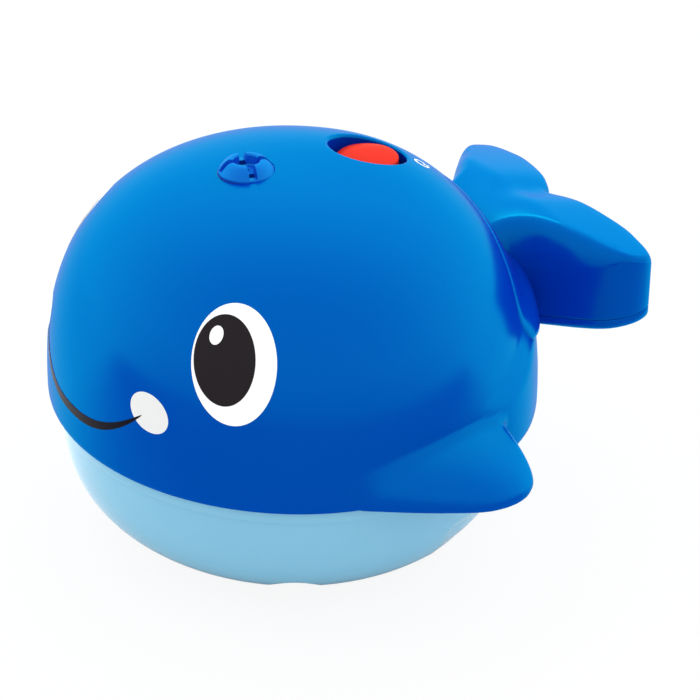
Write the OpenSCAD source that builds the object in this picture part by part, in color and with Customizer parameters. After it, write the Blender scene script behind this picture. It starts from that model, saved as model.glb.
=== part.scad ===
// Water-squirting bath whale, millimetres, +Z up, nose toward -Y.
// The origin is the middle of the flat resting face under the hull.
// The skins are faceted rings worked out from one body formula; round fits are true cylinders.

/* [Body] */
// Half width of the body at its widest level
body_half_w = 76.4; // [70:0.1:84]
// Half length of the body without the tail
body_half_l = 71.5; // [66:0.1:80]
// Height of the dome's top above the resting face
dome_top_z = 119.1; // [108:0.1:132]
// Height of the widest level
widest_z = 46.45; // [45.6:0.05:48]
// Height of the joint between the blue shell and the pale hull
belt_z = 44.4; // [42:0.1:45.2]
// Roundness of the dome seen from the front, 2 is a true ellipse
side_power = 2.38; // [2.2:0.01:2.7]
// Roundness of the dome seen from the side
end_power = 2.535; // [2.3:0.01:2.8]
// Roundness of the pale hull
hull_power = 2.95; // [2.8:0.01:3.2]
// Wall of both shells
wall = 2.4; // [2:0.1:2.8]
// Step from the blue shell's face in to the pale hull
hull_inset = 3.2; // [2.8:0.1:3.8]
// How far the rear of the body stands out behind the dome's crease
rump_depth = 3.1; // [1.5:0.1:4]

/* [Fins] */
// Reach of the fins from the body's middle plane
fin_reach = 93; // [88:0.5:100]
// Height of the fin above the belt inside the body
fin_height = 22; // [19:0.5:26]
// Level face at the back of the fin
fin_back_y = 34; // [30:0.5:38]

/* [Tail] */
// Half span of the flukes
fluke_half_span = 46.5; // [42:0.5:54]
// Rearmost point of the flukes
fluke_back_y = 102.5; // [96:0.5:110]
// Height of the tail's top where it leaves the body
tail_top_z = 93; // [89:0.5:97]
// Height of the tail's underside where it leaves the body
tail_low_z = 57.5; // [54:0.5:61]
// Depth of the separate cover under the tail
tail_cover_h = 3.5; // [2.6:0.1:4.5]

/* [Spout and button] */
// Distance of the spout in front of the body's middle
spout_y = -13; // [-15:0.5:-11]
// Radius of the spout's petal ring
spout_r = 8.6; // [8:0.1:10]
// Height of the petals above the dome's top
spout_rise = 1.5; // [0.8:0.1:3]
// Distance of the button behind the body's middle
button_y = 27.2; // [25:0.1:29]
// Radius of the red button
button_r = 9.4; // [8.5:0.1:10.5]
// Gap round the button in its well
well_gap = 2.2; // [1:0.1:3]
// Press travel of the button
button_travel = 2; // [1:0.1:2.2]

/* [Inside] */
// Diameter of one AA cell
cell_d = 14.2; // [10:0.1:14.6]
// Length of one AA cell
cell_l = 49.2; // [44:0.1:51]
// Radius of the small motor
motor_r = 10; // [8:0.5:11]
// Outer radius of the water tube
tube_r = 2.8; // [2.4:0.1:3.4]

/* [Hidden] */
// Colours
blue = [0.01, 0.42, 0.8];
pale = [0.52, 0.76, 0.88];
red = [0.95, 0.2, 0.18];
dark = [0.15, 0.15, 0.17];
metal = [0.75, 0.76, 0.78];
white = [0.93, 0.94, 0.94];
board_green = [0.1, 0.4, 0.22];
soft_grey = [0.55, 0.58, 0.6];

// Sides of the rings and of the round holes
plan_sides = 36;
round_fn = 64;
small_fn = 32;
bore_fn = 24;

// Clearances shared by every fit, and the overrun of every cut
over = 1;
seat_gap = 0.3;
touch_gap = 0.1;
slip_gap = 0.08;
screw_gap = 0.05;

// Levels of the skins, as shares of their heights
dome_shares = [0, 0.1, 0.2, 0.28, 0.35, 0.42, 0.5, 0.59, 0.69, 0.79, 0.88, 0.95, 0.99, 0.999];
dome_inner_shares = [0, 0.14, 0.28, 0.42, 0.56, 0.69, 0.82, 0.92, 0.98, 0.999];
hull_shares = [0.2, 0.38, 0.54, 0.68, 0.8, 0.89, 0.95, 0.985, 1];

// Body form: how the dome tucks in below its widest level, and the crease with the swell behind it
skirt_drop = 20.15;
base_share = 0.978;
crease_low_z = widest_z + 18.55;
crease_rise = 20;
crease_roll = 8;
crease_start_share = 0.3;
rump_fade_share = 0.12;
rump_full_share = 0.72;

// Hull: a proud band under the blue edge, and shallow flutes that let it drain
band_h = 3;
band_inset = hull_inset - 0.8;
band_step = 0.4;
drain_angles = [-26, 206];
drain_tilt = -28;
drain_inset = 20.9;
drain_z = 7;
drain_flute_r = 22;
drain_depth = 0.8;
drain_l = 24;

// Tongue of the hull inside the blue shell, with a groove for the seal
tongue_h = 4.8;
tongue_w = 2.3;
tongue_inset = wall + seat_gap;
tongue_in_inset = tongue_inset + tongue_w;
groove_depth = 1.2;
groove_inset = tongue_inset + groove_depth;
groove_low_z = belt_z + 1;
groove_top_z = groove_low_z + 2.2;
tongue_top_z = belt_z + tongue_h;

// Screws that hold the two shells together, and their posts
screw_r = 1.5;
screw_bore_r = screw_r + screw_gap;
screw_head_r = 2.9;
screw_head_h = 2;
screw_drive_h = 1;
screw_drive_w = 0.8;
post_x = body_half_w - 32.4;
post_y = body_half_l - 43.5;
post_r = 4.5;
post_split_z = belt_z + 1.6;
post_headroom = 3;
screw_seat_z = belt_z - 10.4;
screw_l = 24;
screw_bite = screw_l - (post_split_z - screw_seat_z);

// Fins: the foot lies at the belt, the pocket behind the skin stops above the seal
fin_root_x = body_half_w - 21.4;
fin_start_x = body_half_w - 4.4;
fin_length = 54;
fin_front_y = fin_back_y - fin_length;
fin_tip_draw = 6.5;
fin_sill = tongue_h + 0.4;
fin_lean = 0.22;
fin_power = 1.8;
fin_sill_share = 0.55;
fin_tip_share = 0.74;
fin_arc = [90, 72, 56, 42, 28, 14, 0];
fin_station_shares = [0, 0.1, 0.22, 0.34, 0.46, 0.58, 0.7, 0.8, 0.88, 0.94, 0.98, 1];

// Tail: half of its outline as shares of the half span and of the run from front to back
tail_front_y = body_half_l - 15.5;
tail_start_y = body_half_l + 1.5;
tail_plan_shares = [[0, 0], [0.344, 0.043], [0.43, 0.215], [0.516, 0.376], [0.624, 0.462], [0.785, 0.609],
    [0.903, 0.714], [0.974, 0.806], [1, 0.882], [0.978, 0.946], [0.903, 0.981], [0.774, 0.996], [0.624, 1],
    [0.43, 0.963], [0.258, 0.92], [0.172, 0.89], [0.086, 0.849], [0, 0.785]];
tail_wall = 2.2;
tail_seam_gap = 0.05;
tail_slope = 0.2;
tail_top_fall = 0.25;
tail_side_fall = 4;
tail_fall_x = 28;
tail_front_roll = 9;
tail_rear_roll = 3.2;
tail_least_roll = 0.8;
tail_roll_y = fluke_back_y - 12.5;
tail_roll_run = 9;
tail_foot_roll = 1.5;
tail_floor = 1.6;
tail_heart_y = tail_start_y + 11;
tail_rolls = [0, 35, 65, 90];
tail_crown_shares = [0.35, 0.75];

// Flange of the tail that lies on the body
collar_gap = 0.4;
collar_lift = 1.5;
collar_root = 1.5;
collar_mid_z = (tail_top_z + tail_low_z) / 2 + 2.75;
collar_half_h = (tail_top_z - tail_low_z) / 2 + 4.25;
collar_drop = 9;
collar_half_angle = 41;
collar_sides = 32;
collar_shares = [0.15, 0.35, 0.55, 0.75, 0.9];

// Screws that hold the tail from inside the body
tail_boss_x = 11;
tail_boss_z = tail_low_z + 18.5;
tail_boss_r = 3.4;
tail_seat_y = body_half_l - 11.5;
tail_screw_l = 18;
tail_boss_end_y = tail_seat_y + tail_screw_l + 2;
shell_boss_r = 4;
tail_web_h = 2;
tail_web_y = tail_boss_end_y - 4.5;

// Spout: a slotted ring that snaps into a cup under the dome
seat_drop = 1.9;
seat_z = dome_top_z - seat_drop;
spout_seal_h = 0.8;
petal_low_z = seat_z + spout_seal_h;
petal_foot_h = 0.9;
petal_h = dome_top_z + spout_rise - petal_low_z - petal_foot_h;
petal_roll = 2.6;
petal_mid_r = spout_r - 2.7;
dish_r = petal_mid_r - petal_roll + 0.7;
dish_h = 0.7;
jet_r = 0.8;
slot_w = 1.8;
slot_turn = -12;
vent_w = 1.6;
spout_neck_r = spout_r - 2.2;
neck_wall = 1.8;
neck_low_z = seat_z - 6.6;
spout_boss_h = 3.6;
cup_r = spout_neck_r + 2.8;
cup_wall = 1.6;
cup_low_z = neck_low_z - 5;
cup_top_z = seat_z - spout_boss_h - touch_gap;

// Water tube between the pump's elbow and the spout's cup
tube_y = spout_y - 6;
tube_bore_r = tube_r - 1;
spigot_r = tube_bore_r - screw_gap;
spigot_bore_r = spigot_r - 0.65;
spigot_l = 6;
elbow_r = tube_r + 0.1;

// Battery bay behind the tube
cell_gap = 0.5;
cell_side_gap = 0.8;
cell_end_gap = 1.5;
cell_nub_r = 2.7;
cell_nub_h = 1.4;
cell_pitch = cell_d + cell_side_gap;
bay_wall = 1.8;
bay_half_x = cell_l / 2 + 2;
bay_half_y = cell_pitch + 0.2;
bay_out_x = bay_half_x + bay_wall;
bay_out_y = bay_half_y + bay_wall;
bay_y = tube_y + elbow_r + 1.1 + bay_out_y;
contact_x = bay_half_x - 0.5;
plate_t = 0.4;
plate_edge = 0.4;
plate_x = contact_x + plate_t / 2 + 0.02;
tab_w = 4;

// Battery door, level with the resting face, with its seal and screw
door_h = 1.8;
door_lip = 0.7;
door_seal_h = 0.8;
door_edge = 2.4;
door_corner_r = 6;
door_gap = 0.35;
recess_h = door_h + door_seal_h;
seal_edge = 1.6;
seal_corner_r = 4;
lip_corner_r = 2;
door_tab_x = bay_half_x + 4.9;
door_tab_r = 4.4;
door_screw_r = 1.4;
door_screw_head_r = 2.6;
door_screw_head_h = 0.9;
door_screw_seat_z = 1;
door_screw_l = 10;
door_post_r = 4;
door_post_h = door_screw_seat_z + door_screw_l + 2;

cell_axis_z = door_h + door_lip + cell_gap + cell_d / 2;
bay_top_z = cell_axis_z + cell_d / 2 + cell_gap;
bay_lid_h = 1.8;
tab_top_z = bay_top_z + bay_lid_h + 2;
plate_low_z = door_h + door_lip + seat_gap;

// Pump: a round housing over the inlet, with a small centrifugal wheel
pump_r = 11;
pump_y = tube_y - pump_r - 6;
pump_wall = 2;
pump_clear = 0.6;
chamber_r = pump_r - pump_wall;
pump_low_z = hull_floor_z((abs(pump_y) + pump_r) / (body_half_l - hull_inset)) + wall + pump_clear;
pump_h = 10.4;
pump_top_z = pump_low_z + pump_h;
pump_roof = 1.6;
pump_cover_h = 1.6;
pump_eye_r = 3;
inlet_r = 6.2;
inlet_wall = 2;
strainer_h = 1.4;
strainer_z = pump_low_z - touch_gap - strainer_h - 1.8;
strainer_slot_w = 1;
strainer_pitch = 2;
strainer_slot_r = inlet_r - 1.2;
elbow_z = pump_low_z + 5.4;
elbow_foot = 3;
elbow_top_z = elbow_z + 3.5;
elbow_arm_r = 2.6;
impeller_r = 7.4;
impeller_low_z = pump_low_z + pump_cover_h + 1.2;
impeller_hub_r = 2.2;
impeller_hub_h = 5;
impeller_disc_h = 0.8;
impeller_vane_h = 4;
impeller_vane_w = 0.8;

// Motor in its clip over the pump
shaft_r = 1;
motor_h = 25;
motor_flat_share = 0.78;
clip_floor = 2;
clip_h = 11;
clip_wall = 1.6;
clip_eye_r = 3;
motor_low_z = pump_top_z + clip_floor;
motor_tab_x = 4;
motor_tab_w = 1.8;
motor_tab_t = 0.6;
motor_tab_h = 2.4;
shaft_low_z = impeller_low_z + touch_gap;
shaft_top_z = motor_low_z + motor_h - 2;

// Button, its well, spring and seal
cap_top_z = dome_top_z - 4.3;
cap_h = 8.4;
cap_crown_h = 1.6;
cap_wall = 1.6;
cap_roof = 4.4;
cap_low_z = cap_top_z - cap_h;
well_r = button_r + well_gap;
well_wall = 2.2;
well_floor_z = cap_low_z - button_travel - 0.4;
stem_r = 2.4;
stem_hole_r = stem_r + 0.1;
stem_low_z = well_floor_z - 5.5;
stem_seal_r = 6;
stem_seal_h = 1.6;
spring_turns = 5;
spring_steps = 10;
spring_mean_r = 5.2;
spring_wire_r = 0.4;

// Switch on its board under the well
plunger_r = 1.7;
plunger_out = 4.5;
switch_w = 12;
switch_h = 6;
switch_floor = 1.5;
board_top_z = stem_low_z - plunger_out - switch_h;
board_h = 1.6;
board_half_x = 15;
board_half_y = 11;
board_low_z = board_top_z - board_h;
board_post_x = 11;
board_post_r = 2.6;
board_screw_r = 1.1;
board_screw_l = 7;
board_screw_head_r = 2;
board_screw_head_h = 1.6;
board_hole_r = board_screw_r + 0.15;
plunger_low_z = board_top_z + switch_floor + button_travel + 0.4;

// Contact springs and wires
contact_turns = 2;
contact_mean_r = 3;
contact_wire_r = 0.35;
wire_r = 0.7;
wire_bend_r = 0.8;
motor_wire_x = motor_tab_x + 0.6;
motor_tab_z = motor_low_z + motor_h + motor_tab_h;

// Bends of the wires, measured from the board's underside at the button's axis
board_heart = [0, button_y, board_low_z];
power_rise = 8.5;
power_bend = [13, -7.2, -20.4];
power_end = [9, -4.2, -8.4];
motor_rise = 6.4;
motor_bend = [5, -15.2, -8.4];
motor_end = [5, -8.2, -4.4];
power_route = [[contact_x, bay_y, tab_top_z + touch_gap], [contact_x, bay_y, tab_top_z + power_rise],
    board_heart + power_bend, board_heart + power_end,
    board_heart + [power_end[0], power_end[1], -touch_gap]];
motor_route = [[motor_wire_x, pump_y, motor_tab_z + touch_gap], [motor_wire_x, pump_y, motor_tab_z + motor_rise],
    board_heart + motor_bend, board_heart + motor_end,
    board_heart + [motor_end[0], motor_end[1], -touch_gap]];

// Forms of the skins

function clamp01(v) = max(0, min(1, v));
function smooth(v) = let(c = clamp01(v)) c * c * (3 - 2 * c);
function bow(v, power) = pow(max(0, 1 - pow(clamp01(v), power)), 1 / power);

// Plan size of the body at a level, 1 at the widest; gap draws the skin in on every side
function dome_size(z, power, gap) = z >= widest_z
    ? bow((z - widest_z) / (dome_top_z - gap - widest_z), power)
    : bow((widest_z - z) / skirt_drop, 2);

// The rear of the body swells out below a crease that rises toward the tail
function crease_z(t) = crease_low_z
    + crease_rise * pow(clamp01((sin(t) - crease_start_share) / (1 - crease_start_share)), 2);
function rump(t, z) = let(s = clamp01((crease_z(t) - z) / crease_roll))
    rump_depth * smooth((sin(t) - rump_fade_share) / (rump_full_share - rump_fade_share)) * (1 - pow(1 - s, 2));

function body_point(t, z, gap) = let(out = rump(t, z))
    [((body_half_w - gap) * dome_size(z, side_power, gap) + out) * cos(t),
    ((body_half_l - gap) * dome_size(z, end_power, gap) + out) * sin(t), z];
function body_ring(z, gap) = [for (i = [0 : plan_sides - 1]) body_point(360 * i / plan_sides, z, gap)];

function hull_size(z) = bow((belt_z - z) / belt_z * base_share, hull_power);
function hull_floor_z(size) = belt_z * (1 - bow(size, hull_power) / base_share);
function hull_point(t, z, inset, gap, lift) = let(
    k = hull_size(z), side = smooth(k), out = rump(t, belt_z) * pow(z / belt_z, 1.5))
    [((body_half_w - inset) * k - gap * side + out) * cos(t),
    ((body_half_l - inset) * k - gap * side + out) * sin(t), z + gap * sqrt(1 - side * side) + lift];
function hull_ring(z, inset, gap = 0, lift = 0) =
    [for (i = [0 : plan_sides - 1]) hull_point(360 * i / plan_sides, z, inset, gap, lift)];

function dome_levels(gap, shares) = [for (s = shares) widest_z + s * (dome_top_z - gap - widest_z)];
function hull_levels() = [for (s = hull_shares) belt_z - band_h - s * (belt_z - band_h)];
function middle(points) = [for (c = [0 : 2]) [for (p = points) 1] * [for (p = points) p[c]] / len(points)];
function flipped(list) = [for (i = [len(list) - 1 : -1 : 0]) list[i]];
function unit(v) = v / norm(v);

// A solid from rings of points, each end closed by a fan, or the ends joined in a loop
module skin(rings, looped = false) {
    n = len(rings[0]);
    m = len(rings);
    last = looped ? m : m - 1;
    sides = [for (j = [0 : last - 1], i = [0 : n - 1]) let(k = (i + 1) % n, u = (j + 1) % m)
        each [[j * n + i, u * n + i, u * n + k], [j * n + i, u * n + k, j * n + k]]];
    fans = looped ? [] : [for (i = [0 : n - 1]) let(k = (i + 1) % n)
        each [[m * n, i, k], [m * n + 1, (m - 1) * n + k, (m - 1) * n + i]]];
    ends = looped ? [] : [middle(rings[0]), middle(rings[m - 1])];
    polyhedron(concat([for (r = rings) each r], ends), concat(sides, fans));
}

// The body's solid form above the belt, drawn in by a gap
module body_block(gap = 0) {
    shares = gap > 0 ? dome_inner_shares : dome_shares;
    skin(concat([body_ring(belt_z, gap)], [for (z = dome_levels(gap, shares)) body_ring(z, gap)]));
}

// The hull's solid form between its outer and inner face, with headroom for the posts
module hull_core() {
    skin(concat([for (z = flipped(hull_levels())) hull_ring(z, hull_inset, wall / 2)],
        [hull_ring(belt_z, hull_inset, wall / 2), hull_ring(belt_z, hull_inset, wall, post_headroom)]));
}

module on_both_sides() {
    children();
    mirror([1, 0, 0]) children();
}

module at_posts() {
    for (x = [-post_x, post_x], y = [-post_y, post_y]) translate([x, y, 0]) children();
}

module pair_along_y(x, y, z) {
    for (side = [-x, x]) translate([side, y, z]) rotate([-90, 0, 0]) children();
}

module tube(r, bore, h) {
    difference() {
        cylinder(r = r, h = h, $fn = round_fn);
        translate([0, 0, -over]) cylinder(r = bore, h = h + 2 * over, $fn = round_fn);
    }
}

// A cross-head screw, head below the origin and shank above it
module screw(head_r, head_h, r, length) {
    difference() {
        union() {
            translate([0, 0, -head_h]) cylinder(r = head_r, h = head_h, $fn = small_fn);
            cylinder(r = r, h = length, $fn = bore_fn);
        }
        for (a = [0, 90]) rotate([0, 0, a])
            translate([-head_r / 2, -screw_drive_w / 2, -head_h - over])
                cube([head_r, screw_drive_w, over + min(screw_drive_h, head_h / 2)]);
    }
}

// A flat plate with rounded corners
module rounded_plate(half_x, half_y, r, h) {
    for (x = [0, 1]) translate([-half_x + x * r, -half_y + (1 - x) * r, 0])
        cube([2 * half_x - x * 2 * r, 2 * half_y - (1 - x) * 2 * r, h]);
    for (x = [-1, 1], y = [-1, 1]) translate([x * (half_x - r), y * (half_y - r), 0])
        cylinder(r = r, h = h, $fn = small_fn);
}

// A coil as one unbroken tube of square section
module coil(turns, mean_r, wire_r, h) {
    steps = turns * spring_steps;
    rise = (h - 2 * wire_r) / steps;
    skin(flipped([for (i = [0 : steps]) let(a = 360 * i / spring_steps, z = wire_r + rise * i)
        [for (b = [0 : 90 : 270]) [(mean_r + wire_r * cos(b)) * cos(a), (mean_r + wire_r * cos(b)) * sin(a),
            z + wire_r * sin(b)]]]));
}

// A wire as straight lengths with a ball at each bend
module wire(points) {
    for (i = [0 : len(points) - 2]) let(d = points[i + 1] - points[i]) translate(points[i])
        rotate([0, acos(d[2] / norm(d)), atan2(d[1], d[0])]) cylinder(r = wire_r, h = norm(d), $fn = 16);
    for (i = [1 : len(points) - 2]) translate(points[i]) sphere(r = wire_bend_r, $fn = 16);
}

// Fins

// Reach of the fin at its foot: straight leading edge, round corner, then the level back face
function fin_edge_x(y) = let(s = (y - fin_front_y) / fin_length)
    fin_start_x + (fin_reach - fin_start_x) * pow(sin(90 * clamp01(s / fin_tip_share)), 0.9)
    - fin_tip_draw * pow(clamp01((s - fin_tip_share) / (1 - fin_tip_share)), 1.8);
function fin_crown(y) = fin_height - fin_lean * y;
function fin_section(y, gap, sill) = let(
    reach = fin_edge_x(y) - fin_root_x - gap - sill * fin_sill_share,
    rise = fin_crown(y) - gap - sill, foot = belt_z + sill)
    concat([[fin_root_x, y, foot]],
        [for (a = flipped(fin_arc)) let(q = pow(cos(a), 1.1))
            [fin_root_x + reach * q, y, foot + rise * bow(q, fin_power)]]);

// The fin's solid form; gap and sill draw it in to make the pocket behind its skin
module fin_block(gap = 0, sill = 0) {
    front = fin_front_y + gap;
    run = fin_back_y - gap - front;
    skin(flipped([for (s = fin_station_shares) fin_section(front + s * run, gap, sill)]));
}

// Upper shell

module shell_skin() {
    inner = flipped([for (z = dome_levels(wall, dome_inner_shares)) body_ring(z, wall)]);
    outer = [for (z = dome_levels(0, dome_shares)) body_ring(z, 0)];
    lip = [body_ring(groove_low_z + touch_gap, wall), body_ring(belt_z, wall), body_ring(belt_z, 0)];
    skin(concat(inner, lip, outer));
}

// Everything that stands on the inside of the dome, before the dome trims it
module shell_bosses() {
    translate([0, button_y, well_floor_z - well_wall])
        cylinder(r = well_r + well_wall, h = dome_top_z - well_floor_z + well_wall, $fn = round_fn);
    translate([0, spout_y, seat_z - spout_boss_h])
        cylinder(r = cup_r, h = dome_top_z - seat_z + spout_boss_h, $fn = round_fn);
    pair_along_y(tail_boss_x, tail_seat_y, tail_boss_z)
        cylinder(r = shell_boss_r, h = body_half_l - tail_seat_y, $fn = small_fn);
    at_posts() translate([0, 0, post_split_z])
        cylinder(r = post_r, h = dome_top_z - post_split_z, $fn = small_fn);
}

module shell_cuts() {
    translate([0, button_y, well_floor_z]) cylinder(r = well_r, h = dome_top_z - well_floor_z, $fn = round_fn);
    translate([0, button_y, well_floor_z - well_wall - over])
        cylinder(r = stem_hole_r, h = well_wall + 2 * over, $fn = small_fn);
    translate([0, spout_y, seat_z]) cylinder(r = spout_r + touch_gap, h = seat_drop + over, $fn = round_fn);
    translate([0, spout_y, seat_z - spout_boss_h - over])
        cylinder(r = spout_neck_r + touch_gap, h = spout_boss_h + 2 * over, $fn = round_fn);
    at_posts() translate([0, 0, post_split_z - over])
        cylinder(r = screw_bore_r, h = screw_bite + 2 * over, $fn = small_fn);
    board_post_places(board_top_z - over)
        cylinder(r = board_screw_r + screw_gap, h = board_screw_l, $fn = bore_fn);
    pair_along_y(tail_boss_x, tail_seat_y - over, tail_boss_z)
        cylinder(r = screw_bore_r, h = tail_screw_l, $fn = bore_fn);
}

module board_post_places(z) {
    for (x = [-board_post_x, board_post_x]) translate([x, button_y, z]) children();
}

module upper_shell() {
    color(blue) difference() {
        union() {
            difference() {
                union() {
                    shell_skin();
                    on_both_sides() difference() {
                        fin_block();
                        body_block(wall / 2);
                    }
                }
                on_both_sides() fin_block(wall, fin_sill);
            }
            intersection() {
                shell_bosses();
                body_block(wall / 2);
            }
            board_post_places(board_top_z)
                cylinder(r = board_post_r, h = well_floor_z - well_wall / 2 - board_top_z, $fn = small_fn);
        }
        shell_cuts();
    }
}

// Lower hull

module door_outline(grow, h) {
    translate([0, bay_y, 0]) rounded_plate(bay_half_x + door_edge + grow, bay_half_y + door_edge + grow,
        door_corner_r + grow, h);
    translate([door_tab_x, bay_y, 0]) cylinder(r = door_tab_r + grow, h = h, $fn = round_fn);
}

module hull_skin() {
    outer = concat([hull_ring(belt_z, band_inset, 0, -seat_gap), hull_ring(belt_z - band_h, band_inset),
        hull_ring(belt_z - band_h, hull_inset, 0, -band_step)],
        [for (z = hull_levels()) hull_ring(z, hull_inset)]);
    inner = [for (z = flipped(hull_levels())) hull_ring(z, hull_inset, wall)];
    tongue = [body_ring(tongue_top_z, tongue_in_inset), body_ring(tongue_top_z, tongue_inset),
        body_ring(groove_top_z, tongue_inset), body_ring(groove_top_z, groove_inset),
        body_ring(groove_low_z, groove_inset), body_ring(groove_low_z, tongue_inset),
        body_ring(belt_z - seat_gap, tongue_inset)];
    skin(flipped(concat(inner, tongue, outer)));
}

// A shallow drain flute on the hull's lower bend at an angle, square to the hull's face there
module drain_flute(a) {
    plan_r = 1 / norm([cos(a) / body_half_w, sin(a) / body_half_l]);
    rotate([0, 0, a]) translate([plan_r - drain_inset, 0, drain_z]) rotate([0, drain_tilt, 0])
        translate([0, 0, drain_depth - drain_flute_r]) rotate([0, 90, 0])
            cylinder(r = drain_flute_r, h = drain_l, center = true, $fn = 96);
}

// Walls, bosses and posts that stand in the hull
module hull_frames() {
    translate([-bay_out_x, bay_y - bay_out_y, 0]) cube([2 * bay_out_x, 2 * bay_out_y, bay_top_z]);
    door_outline(bay_wall, recess_h + bay_wall);
    translate([door_tab_x, bay_y, 0]) cylinder(r = door_post_r, h = door_post_h, $fn = small_fn);
    at_posts() cylinder(r = post_r, h = post_split_z - seat_gap, $fn = small_fn);
    translate([0, pump_y, 0])
        cylinder(r = inlet_r + inlet_wall, h = pump_low_z - touch_gap, $fn = round_fn);
}

module hull_cuts() {
    translate([0, 0, -over]) door_outline(door_gap, recess_h + over);
    translate([-bay_half_x, bay_y - bay_half_y, -over])
        cube([2 * bay_half_x, 2 * bay_half_y, bay_top_z + 2 * over]);
    translate([door_tab_x, bay_y, 0])
        cylinder(r = door_screw_r + screw_gap, h = door_screw_seat_z + door_screw_l + over / 2, $fn = small_fn);
    at_posts() {
        cylinder(r = screw_head_r + seat_gap, h = screw_seat_z, $fn = small_fn);
        cylinder(r = screw_bore_r + touch_gap, h = post_split_z + over, $fn = small_fn);
    }
    translate([0, pump_y, -over]) cylinder(r = inlet_r, h = pump_low_z + 2 * over, $fn = round_fn);
    for (a = drain_angles) drain_flute(a);
}

module lower_hull() {
    color(pale) difference() {
        union() {
            hull_skin();
            intersection() {
                hull_frames();
                hull_core();
            }
        }
        hull_cuts();
    }
}

module hull_seal() {
    low = groove_low_z + touch_gap;
    top = groove_top_z - touch_gap;
    face = wall + screw_gap;
    root = groove_inset - screw_gap;
    color(soft_grey) skin([body_ring(low, face), body_ring(top, face), body_ring(top, root),
        body_ring(low, root)], looped = true);
}

module shell_screws() {
    color(metal) at_posts() translate([0, 0, screw_seat_z])
        screw(screw_head_r, screw_head_h, screw_r, screw_l);
}

// Tail

function tail_loop() = let(half = [for (p = tail_plan_shares)
    [p[0] * fluke_half_span, tail_front_y + p[1] * (fluke_back_y - tail_front_y)]])
    concat(half, [for (i = [len(half) - 2 : -1 : 1]) [-half[i][0], half[i][1]]]);
function tail_low(y) = tail_low_z + tail_slope * (y - tail_start_y);
function tail_high(x, y) = tail_top_z - tail_top_fall * (y - tail_start_y)
    - tail_side_fall * pow(clamp01(abs(x) / tail_fall_x), 2);
function tail_roll(y) = tail_front_roll
    + (tail_rear_roll - tail_front_roll) * smooth((y - tail_roll_y) / tail_roll_run);

// Tail outline drawn in square to itself by an inset that may change along it
function tail_inset(loop, i, inset) = let(n = len(loop),
    along = unit(loop[(i + 1) % n] - loop[(i + n - 1) % n])) loop[i] + inset * [-along[1], along[0]];
function tail_ring_low(loop, inset, lift) = [for (i = [0 : len(loop) - 1]) let(p = tail_inset(loop, i, inset))
    [p[0], p[1], tail_low(loop[i][1]) + lift]];
function tail_ring_roll(loop, a, gap) = [for (i = [0 : len(loop) - 1]) let(
    roll = max(tail_least_roll, tail_roll(loop[i][1]) - gap), q = loop[i],
    p = tail_inset(loop, i, gap + roll * (1 - cos(a))))
    [p[0], p[1], tail_high(q[0], q[1]) - gap - roll * (1 - sin(a))]];
function tail_ring_crown(loop, share, gap) = [for (i = [0 : len(loop) - 1]) let(
    roll = max(tail_least_roll, tail_roll(loop[i][1]) - gap), p = tail_inset(loop, i, gap + roll),
    x = p[0] * (1 - share), y = p[1] + (tail_heart_y - p[1]) * share) [x, y, tail_high(x, y) - gap]];
function tail_upper_rings(loop, gap) = concat([for (a = tail_rolls) tail_ring_roll(loop, a, gap)],
    [for (s = tail_crown_shares) tail_ring_crown(loop, s, gap)]);

// The tail's form drawn in by a gap, from a height above its underside
module tail_block(gap, lift) {
    loop = tail_loop();
    skin(concat([tail_ring_low(loop, gap, lift)], tail_upper_rings(loop, gap)));
}

module tail_skin() {
    loop = tail_loop();
    seam = tail_cover_h + tail_seam_gap;
    skin(concat(flipped(tail_upper_rings(loop, tail_wall)), [tail_ring_low(loop, tail_wall, seam)],
        [tail_ring_low(loop, 0, seam)], tail_upper_rings(loop, 0)));
}

function collar_point(u, share, lift) = let(
    across = share * cos(u), t = 90 - collar_half_angle * across,
    z = collar_mid_z - collar_drop * across * across + collar_half_h * share * sin(u))
    body_point(t, z, -lift);
function collar_ring(share, lift) =
    [for (i = [0 : collar_sides - 1]) collar_point(360 * i / collar_sides, share, lift)];

// The flange that lies on the body round the tail, left thick below for the body to cut
module tail_collar() {
    top = collar_gap + collar_lift;
    skin(flipped(concat([for (c = concat(collar_shares, [1])) collar_ring(c, -collar_root)],
        [collar_ring(1, top - collar_lift / 2)], [for (c = flipped(collar_shares)) collar_ring(c, top)])));
}

module tail_top() {
    color(blue) difference() {
        union() {
            tail_skin();
            difference() {
                tail_collar();
                tail_block(tail_wall / 2, tail_floor / 2);
            }
            pair_along_y(tail_boss_x, tail_seat_y, tail_boss_z)
                cylinder(r = tail_boss_r, h = tail_boss_end_y - tail_seat_y, $fn = small_fn);
            intersection() {
                tail_block(tail_wall / 2, tail_cover_h + tail_seam_gap);
                translate([-fluke_half_span, tail_web_y, tail_low_z])
                    cube([2 * fluke_half_span, tail_web_h, tail_top_z - tail_low_z]);
            }
        }
        body_block(-collar_gap);
        pair_along_y(tail_boss_x, tail_seat_y, tail_boss_z)
            cylinder(r = screw_bore_r, h = tail_screw_l + over, $fn = bore_fn);
    }
}

module tail_cover() {
    loop = tail_loop();
    color(blue) difference() {
        skin(concat([tail_ring_low(loop, tail_foot_roll, 0), tail_ring_low(loop, 0, tail_foot_roll)],
            [tail_ring_low(loop, 0, tail_cover_h), tail_ring_low(loop, tail_wall, tail_cover_h)],
            [tail_ring_low(loop, tail_wall, tail_floor)]));
        body_block(-collar_gap - collar_lift - seat_gap);
    }
}

module tail_screws() {
    color(metal) pair_along_y(tail_boss_x, tail_seat_y, tail_boss_z)
        screw(screw_head_r, screw_head_h, screw_r, tail_screw_l);
}

// Spout

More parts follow.
